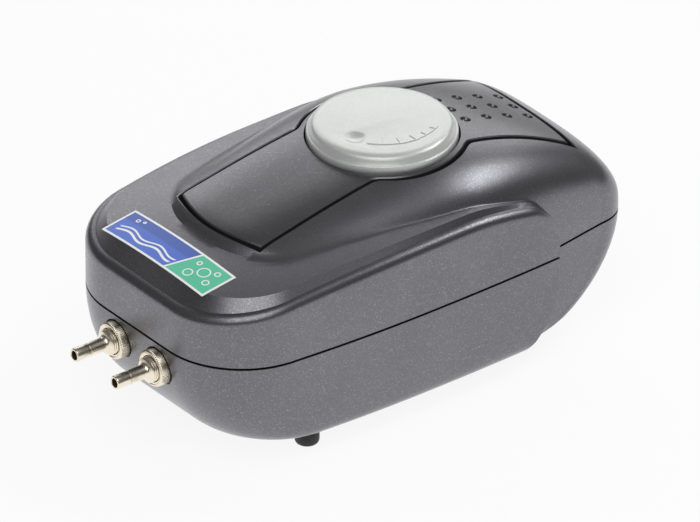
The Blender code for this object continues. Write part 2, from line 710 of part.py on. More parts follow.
def panel_mesh(grow, lift, drop, stations=24, across=6):
    """A plate that follows the hump's surface, between two heights about it."""
    first = PANEL_FRONT_U + PANEL_BOW - grow
    last = BODY_LENGTH - PANEL_REAR_MARGIN + grow
    bm = bmesh.new()
    tops, bottoms = [], []
    for i in range(stations + 1):
        share = i / stations
        u_line = first + (last - first) * share
        half = panel_half_width(u_line) + grow
        fade = max(1 - share * 3, 0.0)
        top_row, bottom_row = [], []
        for k in range(across + 1):
            side = 2 * k / across - 1
            x, u = side * half, u_line - PANEL_BOW * (1 - side * side) * fade
            height = roof(x, u)
            top_row.append(bm.verts.new(place(x, u, height + lift)))
            bottom_row.append(bm.verts.new(place(x, u, height - drop)))
        tops.append(top_row)
        bottoms.append(bottom_row)
    for i in range(stations):
        for k in range(across):
            bm.faces.new((tops[i][k], tops[i][k + 1], tops[i + 1][k + 1], tops[i + 1][k]))
            bm.faces.new((bottoms[i][k], bottoms[i + 1][k], bottoms[i + 1][k + 1],
                          bottoms[i][k + 1]))
        for k in (0, across):
            bm.faces.new((tops[i][k], tops[i + 1][k], bottoms[i + 1][k], bottoms[i][k]))
    for i in (0, stations):
        for k in range(across):
            bm.faces.new((tops[i][k], tops[i][k + 1], bottoms[i][k + 1], bottoms[i][k]))
    bmesh.ops.recalc_face_normals(bm, faces=bm.faces)
    return bm


def top_panel():
    panel = add_object("top_panel", panel_mesh(0.0, 0.0, PANEL_THICKNESS), "panel")
    cut(panel, post_up(0, KNOB_U, KNOB_RADIUS + KNOB_GAP, 0, HUMP_TOP + 6 * MM, 40))
    dots = []
    for i in range(4):
        for k in (-1, 0, 1):
            x, u = k * DOT_PITCH_X, BODY_LENGTH - DOTS_FROM_REAR - i * DOT_PITCH_U
            dot = bmesh.new()
            bmesh.ops.create_uvsphere(dot, u_segments=8, v_segments=6, radius=DOT_RADIUS)
            bmesh.ops.translate(dot, verts=dot.verts,
                                vec=place(x, u, roof(x, u) + 0.3 * DOT_RADIUS))
            dots.append(dot)
    cut(panel, dots)
    return smooth(panel, 30)


def flow_knob():
    r, top = KNOB_RADIUS, KNOB_HEIGHT
    bore = SPINDLE_RADIUS + GAP
    profile = [(bore, 0), (r, 0), (r, 0.45 * top), (r - 0.8 * MM, 0.56 * top),
               (r - 3.4 * MM, 0.95 * top), (r - 4.2 * MM, top), (0, top),
               (0, SPINDLE_SEAT), (bore, SPINDLE_SEAT)]
    centre = place(0, KNOB_U, KNOB_H)
    knob = add_object("flow_knob", lathe_mesh(profile, centre, (0, 0, 1), 36), "knob", centre)
    dimple = bmesh.new()
    bmesh.ops.create_uvsphere(dimple, u_segments=12, v_segments=8, radius=6 * MM)
    bmesh.ops.translate(dimple, verts=dimple.verts,
                        vec=centre + Vector((3.2 * MM, -13.8 * MM, top + 4.8 * MM)))
    return smooth(cut(knob, dimple), 30)


def knob_spindle():
    centre = place(0, KNOB_U, KNOB_H)
    low = BOARD_H + BOARD_THICKNESS + 3 * MM - KNOB_H
    rod = rod_mesh(SPINDLE_RADIUS, centre, (0, 0, 1), low, SPINDLE_SEAT - GAP, 14, 0.5 * MM)
    return smooth(add_object("knob_spindle", rod, "white", centre))


# --- hose outlets -------------------------------------------------------------------------
def outlet_parts(side, hand):
    """Nozzle, knurled nut and seal; distances run forwards from the front wall plane."""
    centre = place(side * NOZZLE_X, 0, NOZZLE_H)
    forward = (0, -1, 0)
    nut_front = NUT_LENGTH + GAP - NUT_SEAT_U
    flange = -(PAD_DEPTH + SEAL_THICKNESS + 2 * GAP)
    tip = NOZZLE_REACH
    r = TUBE_RADIUS
    profile = [(INNER_BORE, flange - 9.5 * MM), (HOSE_SPIGOT, flange - 9.5 * MM),
               (HOSE_SPIGOT, flange - 1.6 * MM), (STEM_RADIUS + 1.5 * MM, flange - 1.6 * MM),
               (STEM_RADIUS + 1.5 * MM, flange), (STEM_RADIUS, flange),
               (STEM_RADIUS, nut_front + 2.9 * MM), (r + 0.9 * MM, nut_front + 3.5 * MM),
               (r + 0.7 * MM, nut_front + 4.6 * MM), (r, nut_front + 4.9 * MM),
               (r, tip - 5.7 * MM), (r - 0.2 * MM, tip - 5.6 * MM),
               (r - 0.2 * MM, tip - 5.4 * MM), (r, tip - 5.3 * MM),
               (r, tip - 0.3 * MM), (r - 0.3 * MM, tip),
               (BORE_RADIUS, tip), (BORE_RADIUS, tip - 12 * MM), (INNER_BORE, tip - 12.6 * MM)]
    nozzle = lathe_mesh(profile, centre, forward, 12)
    smooth(add_object(hand + "_outlet_nozzle", nozzle, "nickel"))
    bore = STEM_RADIUS + GAP
    back = GAP - NUT_SEAT_U
    profile = [(bore, back), (NUT_RADIUS - 0.5 * MM, back), (NUT_RADIUS, back + 0.5 * MM),
               (NUT_RADIUS, nut_front - 0.5 * MM), (NUT_RADIUS - 0.5 * MM, nut_front),
               (bore, nut_front)]
    smooth(add_object(hand + "_nozzle_nut", lathe_mesh(profile, centre, forward, 16), "nickel"))
    profile = [(bore, flange + GAP), (STEM_RADIUS + 1.5 * MM, flange + GAP),
               (STEM_RADIUS + 1.5 * MM, flange + GAP + SEAL_THICKNESS),
               (bore, flange + GAP + SEAL_THICKNESS)]
    smooth(add_object(hand + "_nozzle_seal", lathe_mesh(profile, centre, forward, 12), "rubber"))


def air_hose(side, hand):
    """Rubber hose from the pump's spigot to the nozzle, in an easy S-bend."""
    start = PAD_DEPTH + SEAL_THICKNESS + 2 * GAP + 1.6 * MM + GAP
    straight = start + 8 * MM
    end = CHAMBER_U - CHAMBER_RADIUS - GAP
    bend_end = end - 8.5 * MM
    steps, sides = 8, 6
    bm = bmesh.new()
    rings = []
    for i in range(steps + 1):
        u = start if i == 0 else straight + (bend_end - straight) * (i - 1) / (steps - 2)
        u = end if i == steps else u
        share = min(max((u - straight) / (bend_end - straight), 0.0), 1.0)
        ease = share * share * (3 - 2 * share)
        lean = 6 * share * (1 - share) * (SPIGOT_X - NOZZLE_X) / (bend_end - straight)
        x = NOZZLE_X + (SPIGOT_X - NOZZLE_X) * ease
        h = NOZZLE_H + (ARM_H - NOZZLE_H) * ease
        along = Vector((lean, 1, 0)).normalized()
        across = along.cross(Vector((0, 0, 1)))
        centre = place(side * x, u, h)
        pair = []
        for radius in (HOSE_SPIGOT + GAP, HOSE_SPIGOT + GAP + HOSE_WALL):
            ring = []
            for k in range(sides):
                turn = 2 * math.pi * k / sides
                offset = across * math.cos(turn) + Vector((0, 0, 1)) * math.sin(turn)
                offset.x *= side
                ring.append(bm.verts.new(centre + offset * radius))
            pair.append(ring)
        rings.append(pair)
    for i in range(steps):
        for layer in (0, 1):
            for k in range(sides):
                m = (k + 1) % sides
                bm.faces.new((rings[i][layer][k], rings[i][layer][m],
                              rings[i + 1][layer][m], rings[i + 1][layer][k]))
    for i in (0, steps):
        add_rim(bm, rings[i][0], rings[i][1], inward=False)
    bmesh.ops.recalc_face_normals(bm, faces=bm.faces)
    smooth(add_object(hand + "_air_hose", bm, "rubber"), 50)


# --- pump units ---------------------------------------------------------------------------
def pump_unit(side, hand):
    """Chamber, cover, two flap valves, diaphragm and its screw on one side."""
    centre = place(0, CHAMBER_U, ARM_H)
    out = (side, 0, 0)
    r = CHAMBER_RADIUS
    plate = CHAMBER_BACK_X + 2 * MM
    cup = [(0, CHAMBER_BACK_X), (r, CHAMBER_BACK_X), (r, CHAMBER_FACE_X),
           (r - 2 * MM, CHAMBER_FACE_X), (r - 2 * MM, plate), (0, plate)]
    chamber = add_object(hand + "_pump_chamber", lathe_mesh(cup, centre, out, 18), "black")
    near, far = sorted((side * CHAMBER_BACK_X, side * (CHAMBER_FACE_X - 1 * MM)))
    unite(chamber, case_box(near, far, CHAMBER_U - 8 * MM, CHAMBER_U + 8 * MM,
                            FLOOR_H + GAP, ARM_H - r + 1 * MM))
    ports = [rod_mesh(PORT_RADIUS, place(0, CHAMBER_U + offset, ARM_H), out,
                      CHAMBER_BACK_X - 1 * MM, plate + 1 * MM, 10)
             for offset in (-PORT_OFFSET, PORT_OFFSET)]
    smooth(cut(chamber, ports))

    inner = SPLIT_X
    lid = [(0, inner), (r, inner), (r, CHAMBER_BACK_X - GAP), (r - 1.5 * MM, CHAMBER_BACK_X - GAP),
           (r - 1.5 * MM, inner + 1.2 * MM), (0, inner + 1.2 * MM)]
    cover = add_object(hand + "_chamber_cover", lathe_mesh(lid, centre, out, 18), "black")
    near, far = sorted((side * (inner + 1 * MM), side * (CHAMBER_BACK_X - GAP - 0.05 * MM)))
    unite(cover, case_box(near, far, CHAMBER_U - 0.6 * MM, CHAMBER_U + 0.6 * MM,
                          ARM_H - r + 0.7 * MM, ARM_H + r - 0.7 * MM))
    spigot = place(side * SPIGOT_X, CHAMBER_U - r, ARM_H)
    unite(cover, rod_mesh(HOSE_SPIGOT, spigot, (0, 1, 0), -8 * MM, 0.8 * MM, 12))
    cut(cover, [rod_mesh(INNER_BORE, spigot, (0, 1, 0), -9 * MM, 3 * MM, 10),
                rod_mesh(INNER_BORE, spigot + Vector((0, 2 * r, 0)), (0, 1, 0),
                         -3 * MM, 2 * MM, 10)])
    smooth(cover)

    half = PORT_RADIUS + 0.7 * MM
    for name, offset, at in (("inlet_flap", PORT_OFFSET, plate + GAP),
                             ("outlet_flap", -PORT_OFFSET,
                              CHAMBER_BACK_X - GAP - FLAP_THICKNESS)):
        near, far = sorted((side * at, side * (at + FLAP_THICKNESS)))
        pivot = place(side * (at + FLAP_THICKNESS / 2), CHAMBER_U + offset, ARM_H + FLAP_HINGE)
        flap = case_box(near, far, CHAMBER_U + offset - half, CHAMBER_U + offset + half,
                        ARM_H - half, ARM_H + FLAP_HINGE + 0.2 * MM)
        add_object(hand + "_" + name, flap, "silicone", pivot)

    face = CHAMBER_FACE_X + GAP
    top = ARM_INNER_X - GAP
    cone = [(r, face), (r, face + 1.6 * MM), (r - 1.4 * MM, face + 2.2 * MM),
            (6.5 * MM, top - 2.8 * MM), (6 * MM, top), (SCREW_HOLE, top),
            (SCREW_HOLE, top - 2.6 * MM), (0, top - 2.6 * MM), (0, top - 3.9 * MM),
            (5.2 * MM, top - 3.9 * MM), (r - 2.8 * MM, face + 1.0 * MM), (r - 2.8 * MM, face)]
    smooth(add_object(hand + "_diaphragm", lathe_mesh(cone, centre, out, 14), "rubber"), 50)


def screw_mesh(head_centre, axis, head_radius, shank, steps=8):
    """Pan-head screw; the shank runs along the axis from under the head."""
    profile = [(0, -HEAD_HEIGHT), (head_radius - 0.5 * MM, -HEAD_HEIGHT),
               (head_radius, 0.5 * MM - HEAD_HEIGHT), (head_radius, 0), (SCREW_RADIUS, 0),
               (SCREW_RADIUS, shank - 0.8 * MM), (SCREW_RADIUS - 0.6 * MM, shank), (0, shank)]
    return lathe_mesh(profile, head_centre, axis, steps)


def swing_arm(side, hand):
    """Lever with an eye round its rubber bush, the diaphragm's screw and a magnet."""
    pivot = place(side * ARM_X, ARM_U, ARM_H)
    half_eye = ARM_HALF_HEIGHT + 1 * MM
    eye = [(BUSH_RADIUS + GAP, -half_eye), (BUSH_RADIUS + 2.4 * MM, -half_eye),
           (BUSH_RADIUS + 2.4 * MM, half_eye), (BUSH_RADIUS + GAP, half_eye)]
    name = hand + "_swing_arm"
    arm = add_object(name, lathe_mesh(eye, pivot, (0, 0, 1), 14), "white", pivot)
    near, far = sorted((side * ARM_INNER_X, side * (ARM_INNER_X + ARM_THICKNESS)))
    unite(arm, [case_box(near, far, ARM_U + BUSH_RADIUS + 1 * MM, MAGNET_U,
                         ARM_H - ARM_HALF_HEIGHT, ARM_H + ARM_HALF_HEIGHT),
                case_box(near, far, MAGNET_U - MAGNET_HALF - 1 * MM,
                         MAGNET_U + MAGNET_HALF + 1 * MM,
                         ARM_H - MAGNET_HALF - 1 * MM, ARM_H + MAGNET_HALF + 1 * MM)])
    out = (side, 0, 0)
    cut(arm, rod_mesh(SCREW_HOLE, place(0, CHAMBER_U, ARM_H), out, ARM_INNER_X - 1 * MM,
                      ARM_INNER_X + ARM_THICKNESS + 1 * MM, 12))
    smooth(arm, 30)
    far_face = side * (ARM_INNER_X - GAP)
    near, far = sorted((far_face, far_face - side * MAGNET_THICKNESS))
    add_object(hand + "_magnet",
               case_box(near, far, MAGNET_U - MAGNET_HALF, MAGNET_U + MAGNET_HALF,
                        ARM_H - MAGNET_HALF, ARM_H + MAGNET_HALF, 0.5 * MM), "magnet", pivot)
    head = place(side * (ARM_INNER_X + ARM_THICKNESS + GAP), CHAMBER_U, ARM_H)
    shank = ARM_THICKNESS + 2 * GAP + 2 * MM
    screw = screw_mesh(head, (-side, 0, 0), HEAD_RADIUS, shank)
    smooth(add_object(hand + "_diaphragm_screw", screw, "steel", pivot))


def pivot_bush(side, hand):
    profile = [(BUSH_PIN + GAP, BUSH_LOW), (BUSH_RADIUS, BUSH_LOW), (BUSH_RADIUS, BUSH_HIGH),
               (BUSH_PIN + GAP, BUSH_HIGH)]
    bush = lathe_mesh(profile, place(side * ARM_X, ARM_U, 0), (0, 0, 1), 12)
    smooth(add_object(hand + "_pivot_bush", bush, "rubber"))


# --- electromagnet and circuit board --------------------------------------------------------
def electromagnet():
    half_u = CORE_WIDTH / 2
    core = add_object("laminated_core", case_box(-CORE_HALF_LENGTH, CORE_HALF_LENGTH,
                                                 MAGNET_U - half_u, MAGNET_U + half_u,
                                                 CORE_LOW, CORE_LOW + CORE_WIDTH), "steel")
    cut(core, [post_up(side * CORE_SCREW_X, MAGNET_U, SCREW_HOLE, CORE_LOW - 1 * MM,
                       CORE_LOW + CORE_WIDTH + 1 * MM, 12) for side in (-1, 1)])
    middle = CORE_LOW + CORE_WIDTH / 2

    def block(half_x, half):
        return case_box(-half_x, half_x, MAGNET_U - half, MAGNET_U + half,
                        middle - half, middle + half)

    tube = half_u + GAP + BOBBIN_WALL
    rim = tube + WINDING_DEPTH + 1.4 * MM
    bobbin = add_object("coil_bobbin", block(BOBBIN_HALF_LENGTH, rim), "white")
    groove = block(BOBBIN_HALF_LENGTH - 1.5 * MM, rim + 1 * MM)
    keep = add_object("keep", block(BOBBIN_HALF_LENGTH - 1 * MM, tube), "white")
    ring = add_object("ring", groove, "white")
    combine(ring, mesh_of(keep), "DIFFERENCE")
    cut(bobbin, mesh_of(ring))
    cut(bobbin, block(BOBBIN_HALF_LENGTH + 1 * MM, half_u + GAP))
    winding = add_object("coil_winding", block(BOBBIN_HALF_LENGTH - 1.5 * MM - GAP,
                                               tube + WINDING_DEPTH), "copper")
    cut(winding, block(BOBBIN_HALF_LENGTH, tube + GAP))
    for side, hand in SIDES:
        head = place(side * CORE_SCREW_X, MAGNET_U, CORE_LOW + CORE_WIDTH + GAP)
        screw = screw_mesh(head, (0, 0, -1), HEAD_RADIUS - 0.2 * MM, CORE_WIDTH + 8 * MM)
        smooth(add_object(hand + "_core_screw", screw, "steel"))


def mesh_of(helper):
    """Take an object's mesh as a bmesh and delete the object."""
    bm = bmesh.new()
    bm.from_mesh(helper.data)
    bpy.data.objects.remove(helper, do_unlink=True)
    return bm


def circuit_board():
    board = add_object("circuit_board", case_box(-BOARD_HALF_WIDTH, BOARD_HALF_WIDTH,
                                                 BOARD_U, BOARD_U + BOARD_LENGTH, BOARD_H,
                                                 BOARD_H + BOARD_THICKNESS), "board")
    cut(board, [post_up(x, BOARD_SCREW_U, SCREW_HOLE, BOARD_H - 1 * MM,
                        BOARD_H + BOARD_THICKNESS + 1 * MM, 12)
                for x in (-BOARD_SCREW_X, BOARD_SCREW_X)])
    top = BOARD_H + BOARD_THICKNESS + GAP
    bore = SPINDLE_RADIUS + GAP
    profile = [(0, top), (POT_RADIUS, top), (POT_RADIUS, top + 7.5 * MM), (bore, top + 7.5 * MM),
               (bore, top + 2 * MM), (0, top + 2 * MM)]
    smooth(add_object("potentiometer", lathe_mesh(profile, place(0, KNOB_U, 0), (0, 0, 1), 20),
                      "black"))
    under = BOARD_H - GAP
    add_object("triac", case_box(-15 * MM, -5 * MM, BOARD_U + 5 * MM, BOARD_U + 9.5 * MM,
                                 under - 6 * MM, under, 0.4 * MM), "black")
    add_object("film_capacitor", case_box(2 * MM, 16 * MM, BOARD_U + 28 * MM, BOARD_U + 35 * MM,
                                          under - 9 * MM, under, 0.6 * MM), "copper")
    for side, hand in SIDES:
        head = place(side * BOARD_SCREW_X, BOARD_SCREW_U, BOARD_H - GAP)
        smooth(add_object(hand + "_board_screw",
                          screw_mesh(head, (0, 0, 1), HEAD_RADIUS - 0.2 * MM, 8 * MM), "steel"))


# --- underside and rear ---------------------------------------------------------------------
def case_screw_places():
    return [(x, u) for u in (CASE_SCREW_FRONT_U, CASE_SCREW_REAR_U)
            for x in (-CASE_SCREW_X, CASE_SCREW_X)]


def foot_places():
    return [(-FOOT_FRONT_X, FOOT_FRONT_U), (FOOT_FRONT_X, FOOT_FRONT_U),
            (-FOOT_REAR_X, FOOT_REAR_U), (FOOT_REAR_X, FOOT_REAR_U)]


CORNERS = ("front_left", "front_right", "rear_left", "rear_right")
SIDES = ((-1, "left"), (1, "right"))


def case_screws():
    for name, (x, u) in zip(CORNERS, case_screw_places()):
        head = place(x, u, HEAD_LOW + HEAD_HEIGHT - GAP)
        screw = screw_mesh(head, (0, 0, 1), HEAD_RADIUS, SCREW_REACH - HEAD_LOW - HEAD_HEIGHT)
        smooth(add_object(name + "_case_screw", screw, "steel"))


def feet():
    for name, (x, u) in zip(CORNERS, foot_places()):
        top = FOOT_STAND - GAP
        profile = [(0, 0), (FOOT_RADIUS - 1.2 * MM, 0), (FOOT_RADIUS - 0.2 * MM, 0.8 * MM),
                   (FOOT_RADIUS, 1.8 * MM), (FOOT_RADIUS, top), (FOOT_STEM, top),
                   (FOOT_STEM, FOOT_STAND + WALL + 0.8 * MM), (0, FOOT_STAND + WALL + 0.8 * MM)]
        floor_point = place(x, u, -SEAM_Z)
        smooth(add_object(name + "_foot", lathe_mesh(profile, floor_point, (0, 0, 1), 10),
                          "rubber"))


def intake_filter():
    under = -LOWER_DEPTH
    x, low, high = FILTER_X - GAP, FILTER_U + GAP, FILTER_U + FILTER_LENGTH - GAP
    add_object("filter_felt", case_box(-x, x, low, high, under + 2.2 * MM,
                                       FILTER_TOP - GAP, 0.3 * MM), "felt")
    cover = add_object("filter_cover", case_box(-x, x, low, high, under + 0.2 * MM,
                                                under + 1.9 * MM), "shell")
    pitch = FILTER_LENGTH / 6
    cut(cover, [case_box(-x + 3 * MM, x - 3 * MM, FILTER_U + pitch * k - 0.7 * MM,
                         FILTER_U + pitch * k + 0.7 * MM, under - 1 * MM, under + 3 * MM)
                for k in range(1, 6)])


def cord_gland():
    """Rubber gland for the supply cord; distances run forwards from the tail end."""
    inner_face = GLAND_PAD + GAP
    lip = GLAND_SEAT - GAP
    profile = [(GLAND_BORE, lip - 3.2 * MM), (GLAND_RADIUS - 1.4 * MM, lip - 3.2 * MM),
               (GLAND_RADIUS, lip - 1.8 * MM), (GLAND_RADIUS, lip), (GLAND_NECK, lip),
               (GLAND_NECK, inner_face), (GLAND_RADIUS, inner_face),
               (GLAND_RADIUS - 0.8 * MM, inner_face + 2.4 * MM),
               (GLAND_BORE, inner_face + 2.4 * MM)]
    gland = lathe_mesh(profile, place(0, BODY_LENGTH, GLAND_H), (0, -1, 0), 14)
    smooth(add_object("cord_gland", gland, "rubber"))


def main():
    clear_scene()
    upper_shell()
    lower_shell()
    case_gasket()
    top_panel()
    flow_knob()
    knob_spindle()
    for side, hand in SIDES:
        outlet_parts(side, hand)
        air_hose(side, hand)
        pump_unit(side, hand)
        swing_arm(side, hand)
        pivot_bush(side, hand)
    electromagnet()
    circuit_board()
    case_screws()
    feet()
    intake_filter()
    cord_gland()


main()
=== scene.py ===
"""Looks of a twin-outlet pond air pump, laid out as an add-on and run as a script."""

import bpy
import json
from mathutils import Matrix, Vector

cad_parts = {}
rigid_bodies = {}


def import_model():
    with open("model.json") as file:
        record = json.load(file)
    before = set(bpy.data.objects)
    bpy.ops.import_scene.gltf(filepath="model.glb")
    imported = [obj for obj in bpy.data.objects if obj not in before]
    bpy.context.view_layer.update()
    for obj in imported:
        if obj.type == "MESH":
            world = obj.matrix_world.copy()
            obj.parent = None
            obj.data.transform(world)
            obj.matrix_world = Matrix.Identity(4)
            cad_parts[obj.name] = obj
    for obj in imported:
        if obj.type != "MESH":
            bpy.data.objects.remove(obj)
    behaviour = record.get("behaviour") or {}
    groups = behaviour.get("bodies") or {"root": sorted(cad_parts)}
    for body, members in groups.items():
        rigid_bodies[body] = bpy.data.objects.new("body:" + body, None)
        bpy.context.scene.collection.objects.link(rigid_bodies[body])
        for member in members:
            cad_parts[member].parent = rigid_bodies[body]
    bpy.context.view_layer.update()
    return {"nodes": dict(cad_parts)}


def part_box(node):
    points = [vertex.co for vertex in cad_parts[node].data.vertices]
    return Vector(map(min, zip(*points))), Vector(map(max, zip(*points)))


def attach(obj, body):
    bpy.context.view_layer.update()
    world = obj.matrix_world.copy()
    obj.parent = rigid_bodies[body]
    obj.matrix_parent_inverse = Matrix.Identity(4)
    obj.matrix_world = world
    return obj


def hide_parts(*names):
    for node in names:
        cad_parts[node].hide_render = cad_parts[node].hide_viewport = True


bl_info = {
    "name": "Pond Air Pump Looks",
    "version": (1, 0, 0),
    "blender": (4, 5, 0),
    "location": "View3D > Sidebar > Air Pump",
    "description": "Models and finishes the visible pieces of a pond air pump",
    "category": "Object",
}

import json
import math

import bmesh
import bpy
from bpy.props import FloatProperty, FloatVectorProperty, IntProperty, PointerProperty
from mathutils import Matrix, Vector

for left_over in list(bpy.data.objects):
    bpy.data.objects.remove(left_over, do_unlink=True)
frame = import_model()

MM = 0.001
GAP = 0.3 * MM

# --- the case's measures, the same as the frame's --------
SHELL_LOW, SHELL_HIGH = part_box("lower_shell")
TOP_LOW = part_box("upper_shell")[0]
SEAM_GAP = TOP_LOW.z - SHELL_HIGH.z if TOP_LOW.z - SHELL_HIGH.z < 1 * MM else 0.5 * MM
FRONT_Y = SHELL_LOW.y
SEAM_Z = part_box("case_gasket")[0].z + 1.2 * MM
BODY_LENGTH = 178.5 * MM
BODY_HALF_WIDTH = 50.5 * MM
TAIL_LENGTH = 38.5 * MM
FRONT_RADIUS = 30.5 * MM
FRONT_TAPER = 3.1 * MM
REAR_TAPER = 1.6 * MM
LOWER_DEPTH = 34.5 * MM
WALL = 2.5 * MM
CROWN_WALL = 5.5 * MM
RIM_FRONT = 18.0 * MM
RIM_PEAK = 26.2 * MM
RIM_ROUND = 3.6 * MM
RIM_END_RADIUS = 12.0 * MM
DECK_CROWN = 3.4 * MM
HUMP_TOP = 40.4 * MM
HUMP_FRONT_DROP = 9.4 * MM
HUMP_REAR_DROP = 12.5 * MM
HUMP_HALF_WIDTH = 47.0 * MM
HUMP_FRONT_HALF_WIDTH = 35.0 * MM
HUMP_FRONT = 24.0 * MM
TAIL_HALF_WIDTH = 44.0 * MM
TAIL_RADIUS = 13.5 * MM
FRONT_SLOPE = 24.0 * MM
APRON_SLOPE = 14.0 * MM
APRON_EDGE = 0.4 * MM
UNDER_RADIUS = 6.0 * MM
APRON_END = BODY_LENGTH - TAIL_LENGTH
WIDEST_U = 80.0 * MM
SPINE_FRONT = 60.0 * MM
SPINE_REAR = BODY_LENGTH - 28.0 * MM
KNOB_U = 102.6 * MM
KNOB_RADIUS = 25.5 * MM
KNOB_H = 36.8 * MM
KNOB_FACE = 6.5 * MM
KNOB_GAP = 0.7 * MM
SPINDLE_RADIUS = 3.0 * MM
PANEL_FRONT_U = 30.5 * MM
PANEL_BOW = 5.0 * MM
PANEL_FRONT_HALF_WIDTH = 21.6 * MM
PANEL_WAIST = 20.0 * MM
PANEL_REAR_HALF_WIDTH = 25.5 * MM
PANEL_REAR_U = BODY_LENGTH - 17.5 * MM
PANEL_RING = 1.8 * MM
PANEL_THICKNESS = 2.4 * MM
GROOVE_DEPTH = 3.6 * MM
DOT_PITCH_X = 8.0 * MM
DOT_PITCH_U = 8.8 * MM
DOTS_FROM_REAR = 20.5 * MM
NOZZLE_X = 11.1 * MM
NOZZLE_H = -9.0 * MM
NOZZLE_REACH = 17.5 * MM
STEM_RADIUS = 4.4 * MM
TUBE_RADIUS = 2.4 * MM
BORE_RADIUS = 1.6 * MM
NUT_RADIUS = 6.5 * MM
NUT_LENGTH = 5.5 * MM
NUT_SEAT_U = 3.0 * MM
PAD_DEPTH = 7.5 * MM
FOOT_RADIUS = 4.2 * MM
FOOT_STAND = 5.8 * MM
FOOT_PLACES = [(-38.5 * MM, 41.5 * MM), (38.5 * MM, 41.5 * MM),
               (-30 * MM, 120 * MM), (30 * MM, 120 * MM)]
SCREW_PLACES = [(x, u) for u in (52 * MM, 109 * MM) for x in (-36 * MM, 36 * MM)]
CORNERS = ("front_left", "front_right", "rear_left", "rear_right")
SIDES = ((-1, "left"), (1, "right"))
GLAND_RADIUS = 5.0 * MM
GLAND_NECK = 3.6 * MM
GLAND_H = -10.0 * MM
GLAND_SEAT = 5.4 * MM
GLAND_PAD = 11.0 * MM
FILTER_X = 15.0 * MM
FILTER_U = 71.0 * MM
FILTER_LENGTH = 16.0 * MM
FILTER_TOP = 6.5 * MM - LOWER_DEPTH
UNDER = -LOWER_DEPTH
HEAD_LOW = -30.3 * MM
LABEL_MIDDLE_X, LABEL_MIDDLE_U = -0.45 * MM, 13.9 * MM

# the stage: lamps as name, direction, distance, size and power
AIM = Vector((0.0, 8.6 * MM, 34.2 * MM))
VIEW_WIDTH = 0.2333
VIEW_DISTANCE = 6.0
TOWARDS_CAMERA = (0.681, -0.524, 0.512)
SURROUND = 0.16
FLOOR_SEEN, FLOOR_MIRRORED, FLOOR_THROUGH = 0.9, 1.3, 0.8
LAMPS = (
    ("key", (0.42, -0.38, 0.83), 1.2, (1.0, 1.0), 8.0),
    ("rear_overhead", (0.15, 0.65, 0.75), 1.2, (0.6, 0.25), 4.5),
    ("far_side", (-0.75, 0.55, 0.5), 1.2, (1.2, 0.6), 4.5),
)

# how finely the case's surface is drawn
FAN, STATIONS, TAIL_STATIONS = 16, 40, 14
WALL_SHARES = (0.0, 0.06, 0.3, 0.55, 0.8, 1.0)
ROUND_STEPS = 7
DECK_SHARES = (0.9, 0.74, 0.58, 0.42, 0.28, 0.16, 0.07)
FLANK_SHARES = (0.995, 0.985, 0.97, 0.95, 0.925, 0.895, 0.86, 0.82, 0.775, 0.725, 0.67, 0.61,
                0.55, 0.48, 0.41, 0.34, 0.27, 0.20, 0.13, 0.06, 0.0)
DEPTH_SHARES = (0.0, 0.03, 0.12, 0.22, 0.33, 0.44, 0.55, 0.65, 0.74, 0.81, 0.86, 0.90, 0.93,
                0.955, 0.975, 0.99, 1.0)


def place(x, u, h):
    """A point x across, u behind the front wall and h above the seam."""
    return Vector((x, FRONT_Y + u, SEAM_Z + h))


# --- the case's surface --------
def tail_half_width(u, inset, rear):
    radius = TAIL_RADIUS - inset
    start = rear - radius
    width = TAIL_HALF_WIDTH - 0.168 * (min(u, start) - APRON_END) - inset
    if u > start:
        width += -radius + math.sqrt(max(radius ** 2 - (u - start) ** 2, 0.0))
    return width


def rim_height(u):
    """Height of the apron's rim: rises rearwards, then rounds down at its end."""
    if u < KNOB_U:
        height = RIM_PEAK - (RIM_PEAK - RIM_FRONT) * ((KNOB_U - u) / KNOB_U) ** 2.2
    else:
        height = RIM_PEAK - 6.5 * MM * ((u - KNOB_U) / (APRON_END - KNOB_U)) ** 1.6
    into = u - (APRON_END - RIM_END_RADIUS)
    if into > 0:
        height -= RIM_END_RADIUS - math.sqrt(max(RIM_END_RADIUS ** 2 - into ** 2, 0.0))
    return height


def deck(x, u, inset):
    fall = min(max((u - (APRON_END - 30 * MM)) / (30 * MM), 0.0), 1.0)
    crown = DECK_CROWN * (1 - (x / BODY_HALF_WIDTH) ** 2) * (1 - fall)
    return rim_height(min(u, APRON_END)) + 1.3 * MM * (1 - fall) + crown - inset


def crown_height(u):
    if u < KNOB_U:
        return HUMP_TOP - HUMP_FRONT_DROP * max((KNOB_U - u) / (67.6 * MM), 0.0) ** 1.4
    share = (min(u, PANEL_REAR_U) - KNOB_U) / (PANEL_REAR_U - KNOB_U)
    height = HUMP_TOP - HUMP_REAR_DROP * share ** 2
    if u > PANEL_REAR_U:
        left = max(1 - (u - PANEL_REAR_U) / (BODY_LENGTH - PANEL_REAR_U), 0.0)
        height *= left ** 0.34
    return height


def hump_half_width(u, inset, rear):
    if u < 112 * MM:
        narrow = HUMP_HALF_WIDTH - HUMP_FRONT_HALF_WIDTH
        width = HUMP_HALF_WIDTH - narrow * ((112 * MM - u) / (77 * MM)) ** 1.4
    elif u < APRON_END:
        step = HUMP_HALF_WIDTH - TAIL_HALF_WIDTH
        width = HUMP_HALF_WIDTH - step * ((u - 112 * MM) / (APRON_END - 112 * MM)) ** 1.5
    else:
        return tail_half_width(u, inset, rear)
    return width - inset


